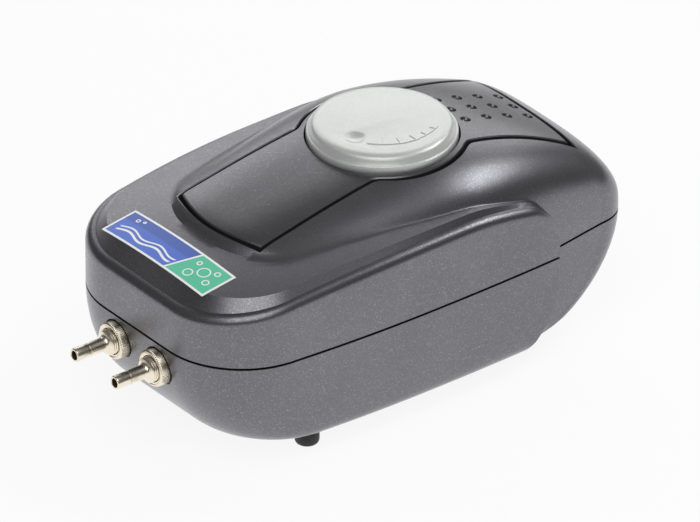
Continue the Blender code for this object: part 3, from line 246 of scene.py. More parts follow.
def hump(x, u, inset, roof_inset):
    """Hump and tail: broad crown, rounded shoulders, near-upright foot."""
    rear = BODY_LENGTH - inset
    width = max(hump_half_width(u, inset, rear), 1e-5)
    top = crown_height(u * BODY_LENGTH / rear if u > KNOB_U else u)
    across = (abs(x) / width) ** 3
    front_reach = SPINE_FRONT - HUMP_FRONT - inset - 5 * MM * min(x / (21.6 * MM), 1.3) ** 2
    along = (max(SPINE_FRONT - u, 0.0) / front_reach) ** 12
    body = top * max(1 - across - along, 0.0) ** 0.25
    return body - roof_inset * min(1.0, body / (0.5 * HUMP_TOP))


def roof(x, u, inset=0.0, roof_inset=0.0, tail=False):
    """Top of the upper shell: deck and hump, joined by a soft fillet at the front."""
    high = hump(x, u, inset, roof_inset)
    if tail:
        return high
    low = deck(x, u, inset)
    blend = 5.0 * MM * min(max((90 * MM - u) / (60 * MM), 0.12), 1.0)
    gap = max(blend - abs(high - low), 0.0) / blend
    return max(high, low) + gap * gap * blend / 4


def arc_points(cx, cu, radius, first, last, steps):
    turns = [math.radians(first + (last - first) * i / steps) for i in range(steps + 1)]
    return [(cx + radius * math.cos(t), cu + radius * math.sin(t)) for t in turns]


def case_outline(depth, inset):
    """Right half of the plan outline at a depth below the seam, front to rear."""
    bottom = LOWER_DEPTH - inset
    share = min(depth / bottom, 1.0)
    rounding = max(UNDER_RADIUS - bottom + depth, 0.0)
    drawn_in = inset + 1.5 * MM * share
    drawn_in += UNDER_RADIUS - math.sqrt(UNDER_RADIUS ** 2 - min(rounding, UNDER_RADIUS) ** 2)
    front = inset + 0.9 * FRONT_SLOPE * (1 - math.sqrt(1 - share ** 2))
    end = APRON_END - inset - APRON_SLOPE * share ** 3
    keel = max(1 - (0.995 * share) ** 2, 0.0) ** 0.4545
    rear = max(APRON_END - 12 * MM + (TAIL_LENGTH + 12 * MM - inset) * keel, end + 2 * MM)

    def side(u):
        taper = FRONT_TAPER if u < WIDEST_U else REAR_TAPER
        return BODY_HALF_WIDTH - taper * ((u - WIDEST_U) / (60 * MM)) ** 2 - drawn_in

    def tail_side(u):
        return TAIL_HALF_WIDTH - 0.168 * (u - APRON_END) - drawn_in

    radius = FRONT_RADIUS - drawn_in
    corner_x = side(front + radius) - radius
    points = [(corner_x * i / 5, front) for i in range(5)]
    points += arc_points(corner_x, front + radius, radius, -90, 0, FAN)
    first = front + radius
    for i in range(1, STATIONS + 1):
        u = first + (end - APRON_EDGE - first) * (1 - (1 - i / STATIONS) ** 1.6)
        points.append((side(u), u))
    points.append((side(end) - APRON_EDGE, end))
    radius = min(TAIL_RADIUS - inset, 0.9 * (rear - end))
    last = rear - radius
    for i in range(TAIL_STATIONS):
        u = end + (last - end) * i / TAIL_STATIONS
        points.append((tail_side(u), u))
    corner_x = tail_side(last) - radius
    points += arc_points(corner_x, last, radius, 0, 90, FAN)
    return points + [(corner_x * (4 - i) / 5, rear) for i in range(5)]


def last_holding(test, low, high):
    """The largest distance at which the test still holds."""
    for _ in range(30):
        middle = (low + high) / 2
        if test(middle):
            low = middle
        else:
            high = middle
    return (low + high) / 2


def upper_column(ray, inset, roof_inset, base):
    """Points from the seam up the wall and inwards to the spine, along one ray."""
    start, dx, du, reach, tail = ray
    end = APRON_END - inset

    def top(distance):
        return roof(dx * distance, start + du * distance, inset, roof_inset, tail)

    def point(distance, height):
        return dx * distance, start + du * distance, height

    def above_deck(distance):
        x, u = dx * distance, start + du * distance
        return hump(x, u, inset, roof_inset) > deck(x, u, inset)

    column = []
    if tail:
        ledge = rim_height(end) - inset
        lowest = len(WALL_SHARES) + ROUND_STEPS + len(DECK_SHARES)
        foot = reach
        for i in range(lowest + 1):
            height = base + (ledge - base) * i / lowest
            if i:
                foot = last_holding(lambda d: top(d) > height, 0.0, reach)
            column.append(point(foot, height))
    else:
        rim = rim_height(start + du * reach) - inset
        rounding = min(RIM_ROUND, 0.45 * (rim - base))
        for share in WALL_SHARES:
            column.append(point(reach, base + share * (rim - rounding - base)))
        for i in range(ROUND_STEPS):
            turn = math.pi / 2 * (i + 0.7) / (ROUND_STEPS - 0.15)
            inward, lift = rounding * (1 - math.cos(turn)), rounding * math.sin(turn)
            column.append(point(reach - inward, rim - rounding + lift))
        shelf = reach - 1.25 * rounding
        foot = min(last_holding(above_deck, 0.0, reach), shelf - 0.3 * MM)
        for share in DECK_SHARES:
            distance = foot + share * (shelf - foot)
            column.append(point(distance, top(distance)))
        column.append(point(foot, top(foot)))
    for share in FLANK_SHARES:
        column.append(point(share * foot, top(share * foot)))
    return column


def case_rays(inset):
    rays = []
    first_of_tail = 7 + FAN + STATIONS
    for i, (x, u) in enumerate(case_outline(0.0, inset)):
        start = min(max(u, SPINE_FRONT), SPINE_REAR)
        reach = math.hypot(x, u - start)
        rays.append((start, x / reach, (u - start) / reach, reach, i >= first_of_tail))
    return rays


def upper_half(inset, roof_inset, base):
    return [upper_column(ray, inset, roof_inset, base) for ray in case_rays(inset)]


def lower_half(inset, base):
    """Columns from the seam down to the underside, round the right side."""
    loops = []
    for level in DEPTH_SHARES:
        depth = base + (LOWER_DEPTH - inset - base) * level
        loops.append([(x, u, -depth) for x, u in case_outline(depth, inset)])
    return [list(column) for column in zip(*loops)]


def skin_body(name, half, closed_bottom):
    """One closed body from a half's columns, their mirror images and flat lids."""
    bm = bmesh.new()
    mirrored = [[(-x, u, h) for x, u, h in column] for column in half[1:-1]]
    columns = half + mirrored[::-1]
    known = {}

    def vert(point):
        key = tuple(round(value / (0.01 * MM)) for value in point)
        if key not in known:
            known[key] = bm.verts.new(place(*point))
        return known[key]

    def face(corners):
        kept = []
        for corner in corners:
            if corner not in kept:
                kept.append(corner)
        if len(kept) > 2:
            bm.faces.new(kept)

    grid = [[vert(point) for point in column] for column in columns]
    for i, column in enumerate(grid):
        after = grid[(i + 1) % len(grid)]
        for j in range(len(column) - 1):
            face((column[j], after[j], after[j + 1], column[j + 1]))
    face([column[0] for column in grid])
    if closed_bottom:
        face([column[-1] for column in grid])
    bmesh.ops.recalc_face_normals(bm, faces=bm.faces)
    return new_piece(name, bm)


# --- modelling helpers --------
def new_piece(name, bm):
    mesh = bpy.data.meshes.new(name)
    bm.to_mesh(mesh)
    bm.free()
    made = bpy.data.objects.new(name, mesh)
    bpy.context.collection.objects.link(made)
    return made


def take(piece=None):
    """Deselect everything, then select one piece and make it active."""
    if bpy.context.mode != "OBJECT":
        bpy.ops.object.mode_set(mode="OBJECT")
    bpy.ops.object.select_all(action="DESELECT")
    if piece:
        piece.select_set(True)
        bpy.context.view_layer.objects.active = piece


def edit(piece):
    take(piece)
    bpy.ops.object.mode_set(mode="EDIT")
    bpy.ops.mesh.select_all(action="SELECT")


def pick(piece, test):
    """In edit mode, select only the corners whose place passes a test."""
    bm = bmesh.from_edit_mesh(piece.data)
    for kind in (bm.faces, bm.edges, bm.verts):
        for part in kind:
            part.select = False
    for vert in bm.verts:
        vert.select = test(vert.co)
    bm.select_flush(True)
    bmesh.update_edit_mesh(piece.data)


def settle(piece, centre=(0, 0, 0), axis=(0, 0, 1)):
    """Stand a piece drawn along Z on its axis and leave its place in its mesh."""
    take(piece)
    turn = Vector((0, 0, 1)).rotation_difference(Vector(axis)).to_matrix().to_4x4()
    piece.matrix_world = Matrix.Translation(Vector(centre)) @ turn
    bpy.ops.object.transform_apply(location=True, rotation=True, scale=True)
    return piece


def turned(name, rings, sides, centre=(0, 0, 0), axis=(0, 0, 1)):
    """Draw a round piece out of a circle, ring by ring: (radius, distance along the axis)."""
    take()
    radius, along = rings[0]
    bpy.ops.mesh.primitive_circle_add(vertices=sides, radius=radius, location=(0, 0, along))
    piece = bpy.context.object
    piece.name = piece.data.name = name
    bpy.ops.object.transform_apply(location=True)
    edit(piece)
    for wide, high in rings[1:]:
        bpy.ops.mesh.extrude_region_move(TRANSFORM_OT_translate={"value": (0, 0, high - along)})
        share = wide / radius
        bpy.ops.transform.resize(value=(share, share, 1), center_override=(0, 0, high))
        radius, along = wide, high
    bpy.ops.mesh.select_all(action="SELECT")
    bpy.ops.mesh.remove_doubles(threshold=0.002 * MM)
    bpy.ops.mesh.select_all(action="DESELECT")
    bpy.ops.mesh.select_non_manifold()
    bpy.ops.mesh.fill_holes(sides=0)
    bpy.ops.mesh.select_all(action="SELECT")
    bpy.ops.mesh.normals_make_consistent(inside=False)
    return settle(piece, centre, axis)


def block(name, low, high, bevel=0.0, segments=3):
    """Draw a box between two corners, with rounded edges."""
    take()
    low, high = Vector(low), Vector(high)
    bpy.ops.mesh.primitive_cube_add(size=1, location=(low + high) / 2, scale=high - low)
    piece = bpy.context.object
    piece.name = piece.data.name = name
    bpy.ops.object.transform_apply(location=True, scale=True)
    if bevel:
        edit(piece)
        bpy.ops.mesh.bevel(offset=bevel, segments=segments, affect="EDGES")
        take(piece)
    return piece


def about(radius, base, *steps):
    """Rings as millimetres outside a radius and beyond a base."""
    return [(radius + wide * MM, base + high * MM) for wide, high in steps]


def case_block(name, x0, x1, u0, u1, h0, h1, bevel=0.0):
    return block(name, place(x0, u0, h0), place(x1, u1, h1), bevel)


def combine(piece, tool, operation="DIFFERENCE"):
    """Apply an exact Boolean, clean its slivers and delete the tool."""
    take(piece)
    step = piece.modifiers.new("combine", "BOOLEAN")
    step.operation = operation
    step.solver = "EXACT"
    step.object = tool
    step.material_mode = "TRANSFER"
    bpy.ops.object.modifier_apply(modifier=step.name)
    bpy.data.objects.remove(tool, do_unlink=True)
    edit(piece)
    bpy.ops.mesh.remove_doubles(threshold=0.002 * MM)
    take(piece)
    if not piece.data.polygons:
        raise RuntimeError("nothing is left of " + piece.name)
    return piece


def smooth(piece, degrees=30.0):
    take(piece)
    bpy.ops.object.shade_smooth_by_angle(angle=math.radians(degrees))
    return piece


def twin(piece, name, shift):
    """A copy with its own mesh, moved in its mesh."""
    copy = bpy.data.objects.new(name, piece.data.copy())
    copy.data.name = name
    bpy.context.collection.objects.link(copy)
    copy.data.transform(Matrix.Translation(Vector(shift)))
    return copy


def fit(piece, body, slot, finish, *nodes):
    """Give a piece its finish, let it ride on its body and stand for its CAD nodes."""
    if not piece.data.materials:
        piece.data.materials.append(finish)
    else:
        piece.data.materials[0] = finish
    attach(piece, body)
    if nodes:
        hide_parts(*nodes)


def spread(first, places, ending, node_ending, finish):
    """Copy a piece to every corner's place and fit all four."""
    x0, u0 = places[0]
    copies = [first] + [twin(first, name + ending, (x - x0, u - u0, 0))
                        for name, (x, u) in zip(CORNERS[1:], places[1:])]
    for name, copy in zip(CORNERS, copies):
        fit(copy, "case", finish, finish_of(finish), name + node_ending)


def dress(finish, *nodes):
    """Give CAD nodes that stay a finish."""
    for name in nodes:
        mesh = frame["nodes"][name].data
        mesh.materials.clear()
        mesh.materials.append(finish)


# --- finishes --------
class Value:
    """A socket that takes part in sums."""

    def __init__(self, finish, socket):
        self.finish = finish
        self.socket = socket

    def math(self, operation, *others, first=True):
        values = [self, *others] if first else [*others, self]
        node = self.finish.node("ShaderNodeMath", {"operation": operation},
                                dict(enumerate(values)))
        return Value(self.finish, node.outputs[0])

    def __add__(self, other):
        return self.math("ADD", other)

    __radd__ = __add__

    def __sub__(self, other):
        return self.math("SUBTRACT", other)

    def __rsub__(self, other):
        return self.math("SUBTRACT", other, first=False)

    def __mul__(self, other):
        return self.math("MULTIPLY", other)

    __rmul__ = __mul__

    def __truediv__(self, other):
        return self.math("DIVIDE", other)

    def power(self, other):
        return self.math("POWER", other)

    def larger(self, other):
        return self.math("MAXIMUM", other)

    def smaller(self, other):
        return self.math("MINIMUM", other)

    def ramp(self, low, high):
        """0 up to low, 1 from high, and a soft rise between them."""
        node = self.finish.node("ShaderNodeMapRange", {"interpolation_type": "SMOOTHSTEP"},
                                {"Value": self, "From Min": low, "From Max": high})
        return Value(self.finish, node.outputs["Result"])


class Finish:
    """A material whose nodes are written as sums."""

    def __init__(self, name, colour, roughness, metallic=0.0, **sockets):
        self.material = bpy.data.materials.new(name)
        self.material.use_nodes = True
        self.tree = self.material.node_tree
        self.shader = self.tree.nodes["Principled BSDF"]
        self.shader.inputs["Base Color"].default_value = (*colour, 1)
        self.shader.inputs["Roughness"].default_value = roughness
        self.shader.inputs["Metallic"].default_value = metallic
        for socket, value in sockets.items():
            self.shader.inputs[socket.replace("_", " ")].default_value = value
        self.material.diffuse_color = (*colour, 1)

    def node(self, kind, settings=None, inputs=None):
        made = self.tree.nodes.new(kind)
        for setting, value in (settings or {}).items():
            setattr(made, setting, value)
        for socket, value in (inputs or {}).items():
            if isinstance(value, Value):
                self.tree.links.new(value.socket, made.inputs[socket])
            elif value is not None:
                made.inputs[socket].default_value = value
        return made

    def place(self):
        return Value(self, self.node("ShaderNodeTexCoord").outputs["Object"])

    def sheet(self):
        """Across and up a piece's own UV map."""
        made = self.node("ShaderNodeSeparateXYZ", None,
                         {0: Value(self, self.node("ShaderNodeTexCoord").outputs["UV"])})
        return Value(self, made.outputs[0]), Value(self, made.outputs[1])

    def axes(self):
        made = self.node("ShaderNodeSeparateXYZ", None, {0: self.place()})
        return [Value(self, made.outputs[i]) for i in range(3)]

    def noise(self, scale, detail=2.0, roughness=0.5, stretch=None):
        vector = self.place()
        if stretch:
            vector = Value(self, self.node("ShaderNodeVectorMath", {"operation": "MULTIPLY"},
                                           {0: vector, 1: stretch}).outputs[0])
        made = self.node("ShaderNodeTexNoise", None,
                         {"Vector": vector, "Scale": scale, "Detail": detail,
                          "Roughness": roughness})
        return Value(self, made.outputs["Fac"])

    def specks(self, scale):
        """A random number for each small cell."""
        made = self.node("ShaderNodeTexVoronoi", None, {"Vector": self.place(), "Scale": scale})
        parts = self.node("ShaderNodeSeparateColor", None,
                          {0: Value(self, made.outputs["Color"])})
        return Value(self, parts.outputs[0])

    def blend(self, share, first, second):
        made = self.node("ShaderNodeMix", {"data_type": "RGBA"}, None)
        for socket, value in ((made.inputs[0], share), (made.inputs[6], first),
                              (made.inputs[7], second)):
            if isinstance(value, Value):
                self.tree.links.new(value.socket, socket)
            elif isinstance(value, (int, float)):
                socket.default_value = value
            else:
                socket.default_value = (*value, 1)
        return Value(self, made.outputs[2])

    def feed(self, socket, value):
        self.tree.links.new(value.socket, self.shader.inputs[socket])

    def bump(self, height, distance, strength=1.0):
        made = self.node("ShaderNodeBump", None,
                         {"Height": height, "Distance": distance, "Strength": strength})
        self.tree.links.new(made.outputs["Normal"], self.shader.inputs["Normal"])


def tinted(colour, share):
    return tuple(min(max(part * share, 0.0), 1.0) for part in colour)


def flecked_plastic(name, colour, fleck, roughness, metallic=0.0, amount=0.12, coat=0.0):
    """Moulded plastic with fine metallic flecks and an even spark-eroded grain."""
    made = Finish(name, colour, roughness, metallic, Coat_Weight=coat, Coat_Roughness=0.3,
                  Specular_IOR_Level=1.0)
    grain = made.noise(2600, 3, 0.6)
    cloud = made.noise(38, 2)
    sparks = made.specks(4200).ramp(1 - amount, 1.0)
    fine = made.specks(6000)
    base = made.blend(cloud.ramp(0.3, 0.7), tinted(colour, 0.94), tinted(colour, 1.06))
    mottled = made.blend(fine * 0.30 + grain * 0.20, base, tinted(colour, 1.7))
    made.feed("Base Color", made.blend(sparks * 0.34, mottled, fleck))
    made.feed("Roughness", roughness + (grain - 0.5) * 0.16 - sparks * 0.06)
    made.feed("Metallic", metallic + sparks * 0.1)
    made.bump(grain + fine * 0.5, 0.012 * MM, 0.6)
    return made.material


def moulded(name, colour, roughness, grain_scale=900.0, subsurface=0.0):
    """Plain moulded plastic or rubber: faint clouding, fine grain and dulled patches."""
    made = Finish(name, colour, roughness, 0.0, Subsurface_Weight=subsurface)
    grain = made.noise(grain_scale, 4, 0.6)
    cloud = made.noise(70, 3)
    made.feed("Base Color", made.blend(cloud.ramp(0.35, 0.7), tinted(colour, 0.88),
                                       tinted(colour, 1.12)))
    made.feed("Roughness", roughness + (cloud - 0.5) * 0.16 + (grain - 0.5) * 0.12)
    made.bump(grain, 0.015 * MM, 0.6)
    return made.material


def plated(name, colour, roughness, stretch=(1, 1, 1)):
    """Plated or ground metal: fine tool marks, and duller tarnish in patches."""
    made = Finish(name, colour, roughness, 1.0)
    marks = made.noise(1400.0, 3, 0.6, stretch)
    tarnish = made.noise(160, 4, 0.65).ramp(0.45, 0.75)
    made.feed("Base Color", made.blend(tarnish * 0.6, colour, tinted(colour, 0.72)))
    made.feed("Roughness", roughness + (marks - 0.5) * 0.18 + tarnish * 0.12)
    made.bump(marks, 0.008 * MM, 0.6)
    return made.material


def striped(name, colour, gap_colour, axis, pitch, roughness, metallic):
    """Wound wire or stacked sheets: rounded bands across one axis."""
    made = Finish(name, colour, roughness, metallic)
    along = made.axes()[axis] / pitch
    wave = along.math("PINGPONG", 0.5) * 2
    groove = wave.ramp(0.0, 0.35)
    shade = made.noise(500, 3)
    lit = made.blend(shade.ramp(0.3, 0.7), tinted(colour, 0.85), tinted(colour, 1.1))
    made.feed("Base Color", made.blend(groove, gap_colour, lit))
    made.feed("Roughness", roughness + (1 - groove) * 0.25 + (shade - 0.5) * 0.1)
    made.bump(groove, 0.1 * MM, 0.8)
    return made.material


def felted(name, colour):
    """Needled felt: crossing fibres and a rough, uneven pile."""
    made = Finish(name, colour, 0.95, 0.0, Sheen_Weight=0.3)
    one = made.noise(900, 5, 0.7, (1, 6, 1))
    two = made.noise(900, 5, 0.7, (6, 1, 1))
    fibres = one.larger(two).ramp(0.45, 0.75)
    made.feed("Base Color", made.blend(fibres, tinted(colour, 0.7), tinted(colour, 1.15)))
    made.bump(fibres, 0.15 * MM, 0.8)
    return made.material


def printed_label(blue_low, blue_high, green, white):
    """Glossy printed film in two fields with a white border, waves and bubbles."""
    made = Finish("printed_film", (0.8, 0.8, 0.8), 0.45, 0.0, Coat_Weight=0.12,
                  Coat_Roughness=0.2)
    s, t = made.sheet()
    across, up = s * 55.0, t * 15.0
    edge = across.smaller(55.0 - across).smaller(up).smaller(15.0 - up)
    inside = edge.ramp(0.85, 0.95)
    slant = across - 35.5 - (up - 7.5) * 0.35
    right = slant.ramp(0.35, 0.45)
    divider = 1 - slant.math("ABSOLUTE").ramp(0.35, 0.5)
    blue = made.blend(up.ramp(9.0, 10.2), blue_low, blue_high)
    ground = made.blend(right, blue, green)
    marks = divider
    for centre, rise, thick in ((4.2, 0.9, 0.42), (6.2, 0.9, 0.30)):
        swell = (across * 0.42 + 4.2).math("SINE") * rise + centre
        line = 1 - (up - swell).math("ABSOLUTE").ramp(thick, thick + 0.15)
        marks = marks.larger(line * (1 - right) * across.ramp(3.0, 4.0) * (1 - slant.ramp(-2, -1)))
    bubbles = ((41.5, 4.6, 1.7), (45.6, 8.4, 2.3), (50.2, 5.4, 1.2), (49.6, 11.2, 1.0),
               (40.6, 10.6, 0.9), (6.0, 11.4, 0.7), (8.6, 12.2, 0.45))
    for x, y, size in bubbles:
        far = ((across - x).power(2) + (up - y).power(2)).power(0.5)
        ring = 1 - (far - size).math("ABSOLUTE").ramp(0.16, 0.30)
        marks = marks.larger(ring)
    worn = made.noise(260, 3).ramp(0.62, 0.8) * 0.06
    art = made.blend(marks, ground, white)
    face = made.blend(inside, white, art)
    made.feed("Base Color", made.blend(worn, face, (0.5, 0.5, 0.5)))
    made.feed("Roughness", 0.45 + worn * 2 + made.noise(1200, 2) * 0.06)
    made.bump(made.noise(300, 2), 0.01 * MM, 0.4)
    return made.material


# --- sizes and colours --------
class AirPumpSizes(bpy.types.PropertyGroup):
    """Fine sizes that do not alter the pump's own dimensions."""

    groove: FloatProperty(name="Groove", description="Gap round the top panel at its front",
                          default=1.1 * MM, unit="LENGTH")
    groove_rear: FloatProperty(name="Rear groove", description="Gap at the panel's rear corners",
                               default=2.0 * MM, unit="LENGTH")
    chamfer: FloatProperty(name="Chamfer", description="Chamfer along the panel and its recess",
                           default=0.35 * MM, unit="LENGTH")
    dot_radius: FloatProperty(name="Dimple radius", description="Radius of the rear dimples",
                              default=2.0 * MM, unit="LENGTH")
    knurls: IntProperty(name="Knurls", description="Ridges round each ring nut", default=60)
    label_length: FloatProperty(name="Label length", description="Printed label, across",
                                default=55.0 * MM, unit="LENGTH")
    label_width: FloatProperty(name="Label width", description="Printed label, along the case",
                               default=14.2 * MM, unit="LENGTH")


class AirPumpColours(bpy.types.PropertyGroup):
    """Colours, as linear values."""

    case: FloatVectorProperty(name="Case", description="Charcoal plastic of both shells",
                              default=(0.125, 0.125, 0.135), subtype="COLOR")
    panel: FloatVectorProperty(name="Panel", description="Plastic of the inset top panel",
                               default=(0.115, 0.115, 0.122), subtype="COLOR")
    fleck: FloatVectorProperty(name="Flecks", description="Metallic flecks in the plastic",
                               default=(0.50, 0.51, 0.58), subtype="COLOR")
    knob: FloatVectorProperty(name="Knob", description="Silver lacquer of the flow knob",
                              default=(0.48, 0.49, 0.48), subtype="COLOR")
    nickel: FloatVectorProperty(name="Nickel", description="Plating of nozzles and ring nuts",
                                default=(0.70, 0.64, 0.53), subtype="COLOR")
    rubber: FloatVectorProperty(name="Rubber", description="Feet, gasket, gland and hoses",
                                default=(0.018, 0.018, 0.019), subtype="COLOR")
    blue: FloatVectorProperty(name="Label blue", description="Left field of the label",
                              default=(0.07, 0.16, 0.62), subtype="COLOR")
    green: FloatVectorProperty(name="Label green", description="Right field of the label",
                               default=(0.09, 0.55, 0.34), subtype="COLOR")


def sizes():
    return bpy.context.scene.air_pump_sizes


def colours():
    return bpy.context.scene.air_pump_colours


FINISHES = {}


def finish_of(kind):
    """The finish of that kind, made when it is first asked for."""
    if kind not in FINISHES:
        FINISHES[kind] = make_finish(kind)
    return FINISHES[kind]


def make_finish(kind):
    tone = colours()
    flecked = {
        "case": ("charcoal_plastic", tone.case, tone.fleck, 0.34, 0.88),
        "panel": ("panel_plastic", tone.panel, tone.fleck, 0.32, 0.88, 0.08),
        # dimple: half the panel's tone, painted shade in the rear dimples' hollows, and glossier
        "dimple": ("dimple_gloss", tinted(tone.panel, 0.5), tone.fleck, 0.18, 0.5, 0.03),
        "knob": ("silver_lacquer", tone.knob, (0.8, 0.8, 0.8), 0.38, 0.30, 0.10, 0.25),
    }
    plain = {
        "rubber": ("black_rubber", tone.rubber, 0.62, 1100.0),
        "nylon": ("natural_nylon", (0.72, 0.71, 0.66), 0.48),
        # black: real black mouldings inside the case, and painted shade in the panel's groove and
        # on the panel's side walls
        "black": ("black_moulding", (0.022, 0.022, 0.024), 0.42),
        "silicone": ("clear_silicone", (0.74, 0.72, 0.66), 0.38, 400.0, 0.1),
        "board": ("laminate_board", (0.36, 0.22, 0.08), 0.55, 300.0),
        "film": ("capacitor_resin", (0.50, 0.16, 0.05), 0.30, 200.0),
    }
    metal = {
        "nickel": ("nickel_plate", tone.nickel, 0.26, (1, 0.2, 1)),
        "steel": ("zinc_steel", (0.60, 0.61, 0.62), 0.34),
        "magnet": ("ferrite", (0.13, 0.13, 0.135), 0.48),
    }
    banded = {
        "core": ("stacked_sheets", (0.42, 0.43, 0.45), (0.05, 0.05, 0.05), 2, 0.5 * MM,
                 0.35, 1.0),
        "winding": ("enamelled_wire", (0.62, 0.22, 0.08), (0.10, 0.03, 0.01), 0,
                    0.35 * MM, 0.28, 0.85),
    }
    fibrous = {"felt": ("filter_felt_fibres", (0.50, 0.53, 0.48))}
    for maker, table in ((flecked_plastic, flecked), (moulded, plain), (plated, metal),
                         (striped, banded), (felted, fibrous)):
        if kind in table:
            return maker(*table[kind])
    raise ValueError(kind)


# --- the case --------
def panel_half_width(u):
    """Straight sides that swell round the knob and widen towards the rear."""
    if u < KNOB_U:
        share = (u - PANEL_FRONT_U) / (KNOB_U - PANEL_FRONT_U)
        side = PANEL_FRONT_HALF_WIDTH + (PANEL_WAIST - PANEL_FRONT_HALF_WIDTH) * share
    else:
        share = (u - KNOB_U) / (PANEL_REAR_U - KNOB_U)
        side = PANEL_WAIST + (PANEL_REAR_HALF_WIDTH - PANEL_WAIST) * share ** 3
    swell = KNOB_RADIUS + KNOB_GAP + PANEL_RING
    round_knob = math.sqrt(max(swell ** 2 - (u - KNOB_U) ** 2, 0.0))
    blend = 2 * MM
    gap = max(blend - abs(side - round_knob), 0.0) / blend
    return max(side, round_knob) + gap * gap * blend / 4


def panel_point(share, side, grow, height):
    """A point of the panel's plan, grown outwards, at a height about the hump."""
    first = PANEL_FRONT_U + PANEL_BOW - grow
    last = PANEL_REAR_U + grow
    u_line = first + (last - first) * share
    x = side * (panel_half_width(u_line) + grow)
    u = u_line - PANEL_BOW * (1 - side * side) * max(1 - share * 3, 0.0)
    return place(x, u, roof(x, u) + height)


def panel_body(name, layers, stations=110, across=16):
    """A plate from stacked outlines, each (growth as a function of length, height)."""
    bm = bmesh.new()
    sides = [2 * k / across - 1 for k in range(across + 1)]
    shares = [i / stations for i in range(stations + 1)]
    loop = [(0, k) for k in range(across)] + [(i, across) for i in range(stations)]
    loop += [(stations, k) for k in range(across, 0, -1)] + [(i, 0) for i in range(stations, 0, -1)]
    rings = []
    for number, (grow, height) in enumerate(layers):
        full = number in (0, len(layers) - 1)
        wanted = [(i, k) for i in range(stations + 1) for k in range(across + 1)] if full else loop
        ring = {key: bm.verts.new(panel_point(shares[key[0]], sides[key[1]],
                                              grow(shares[key[0]]), height)) for key in wanted}
        rings.append(ring)
        if full:
            for i in range(stations):
                for k in range(across):
                    bm.faces.new([ring[key] for key in ((i, k), (i, k + 1), (i + 1, k + 1),
                                                        (i + 1, k))])
    for lower, upper in zip(rings, rings[1:]):
        for n, key in enumerate(loop):
            after = loop[(n + 1) % len(loop)]
            bm.faces.new((lower[key], lower[after], upper[after], upper[key]))
    bmesh.ops.recalc_face_normals(bm, faces=bm.faces)
    return new_piece(name, bm)


def groove_at(share):
    fine = sizes()
    return fine.groove + (fine.groove_rear - fine.groove) * share ** 2


def round_tool(name, x, u, radius, low, high, sides=64):
    return turned(name, [(radius, low), (radius, high)], sides, place(x, u, 0))


class AIRPUMP_OT_upper_case(bpy.types.Operator):
    """Model the upper shell with the panel's recess and the knob's well."""

    bl_idname = "airpump.upper_case"
    bl_label = "Upper case"

    def execute(self, context):
        chamfer = sizes().chamfer
        shell = skin_body("upper_case", upper_half(0.0, 0.0, SEAM_GAP), False)
        combine(shell, skin_body("hollow", upper_half(WALL, CROWN_WALL, -1 * MM), False))
        # The groove's cut faces take the black finish: painted shade down in the recess round the
        # panel.
        deep = panel_body("deep_groove", [(groove_at, -GROOVE_DEPTH), (groove_at, 9 * MM)])
        deep.data.materials.append(finish_of("black"))
        shell.data.materials.append(finish_of("case"))
        combine(shell, deep)
        steps = ((0.05 * MM, -0.7 * MM), (0.05 * MM, -chamfer), (2 * chamfer, chamfer),
                 (2 * chamfer, 9 * MM))
        lip = [(lambda share, wide=wide: groove_at(share) + wide, high) for wide, high in steps]
        combine(shell, panel_body("lip", lip))
        combine(shell, round_tool("well", 0, KNOB_U, KNOB_RADIUS + KNOB_GAP, KNOB_H - GAP,
                                  HUMP_TOP + 6 * MM, 96))
        combine(shell, round_tool("spindle_hole", 0, KNOB_U, SPINDLE_RADIUS + GAP, 20 * MM,
                                  HUMP_TOP))
        fit(smooth(shell, 28), "case", "shell", finish_of("case"), "upper_shell")
        return {"FINISHED"}


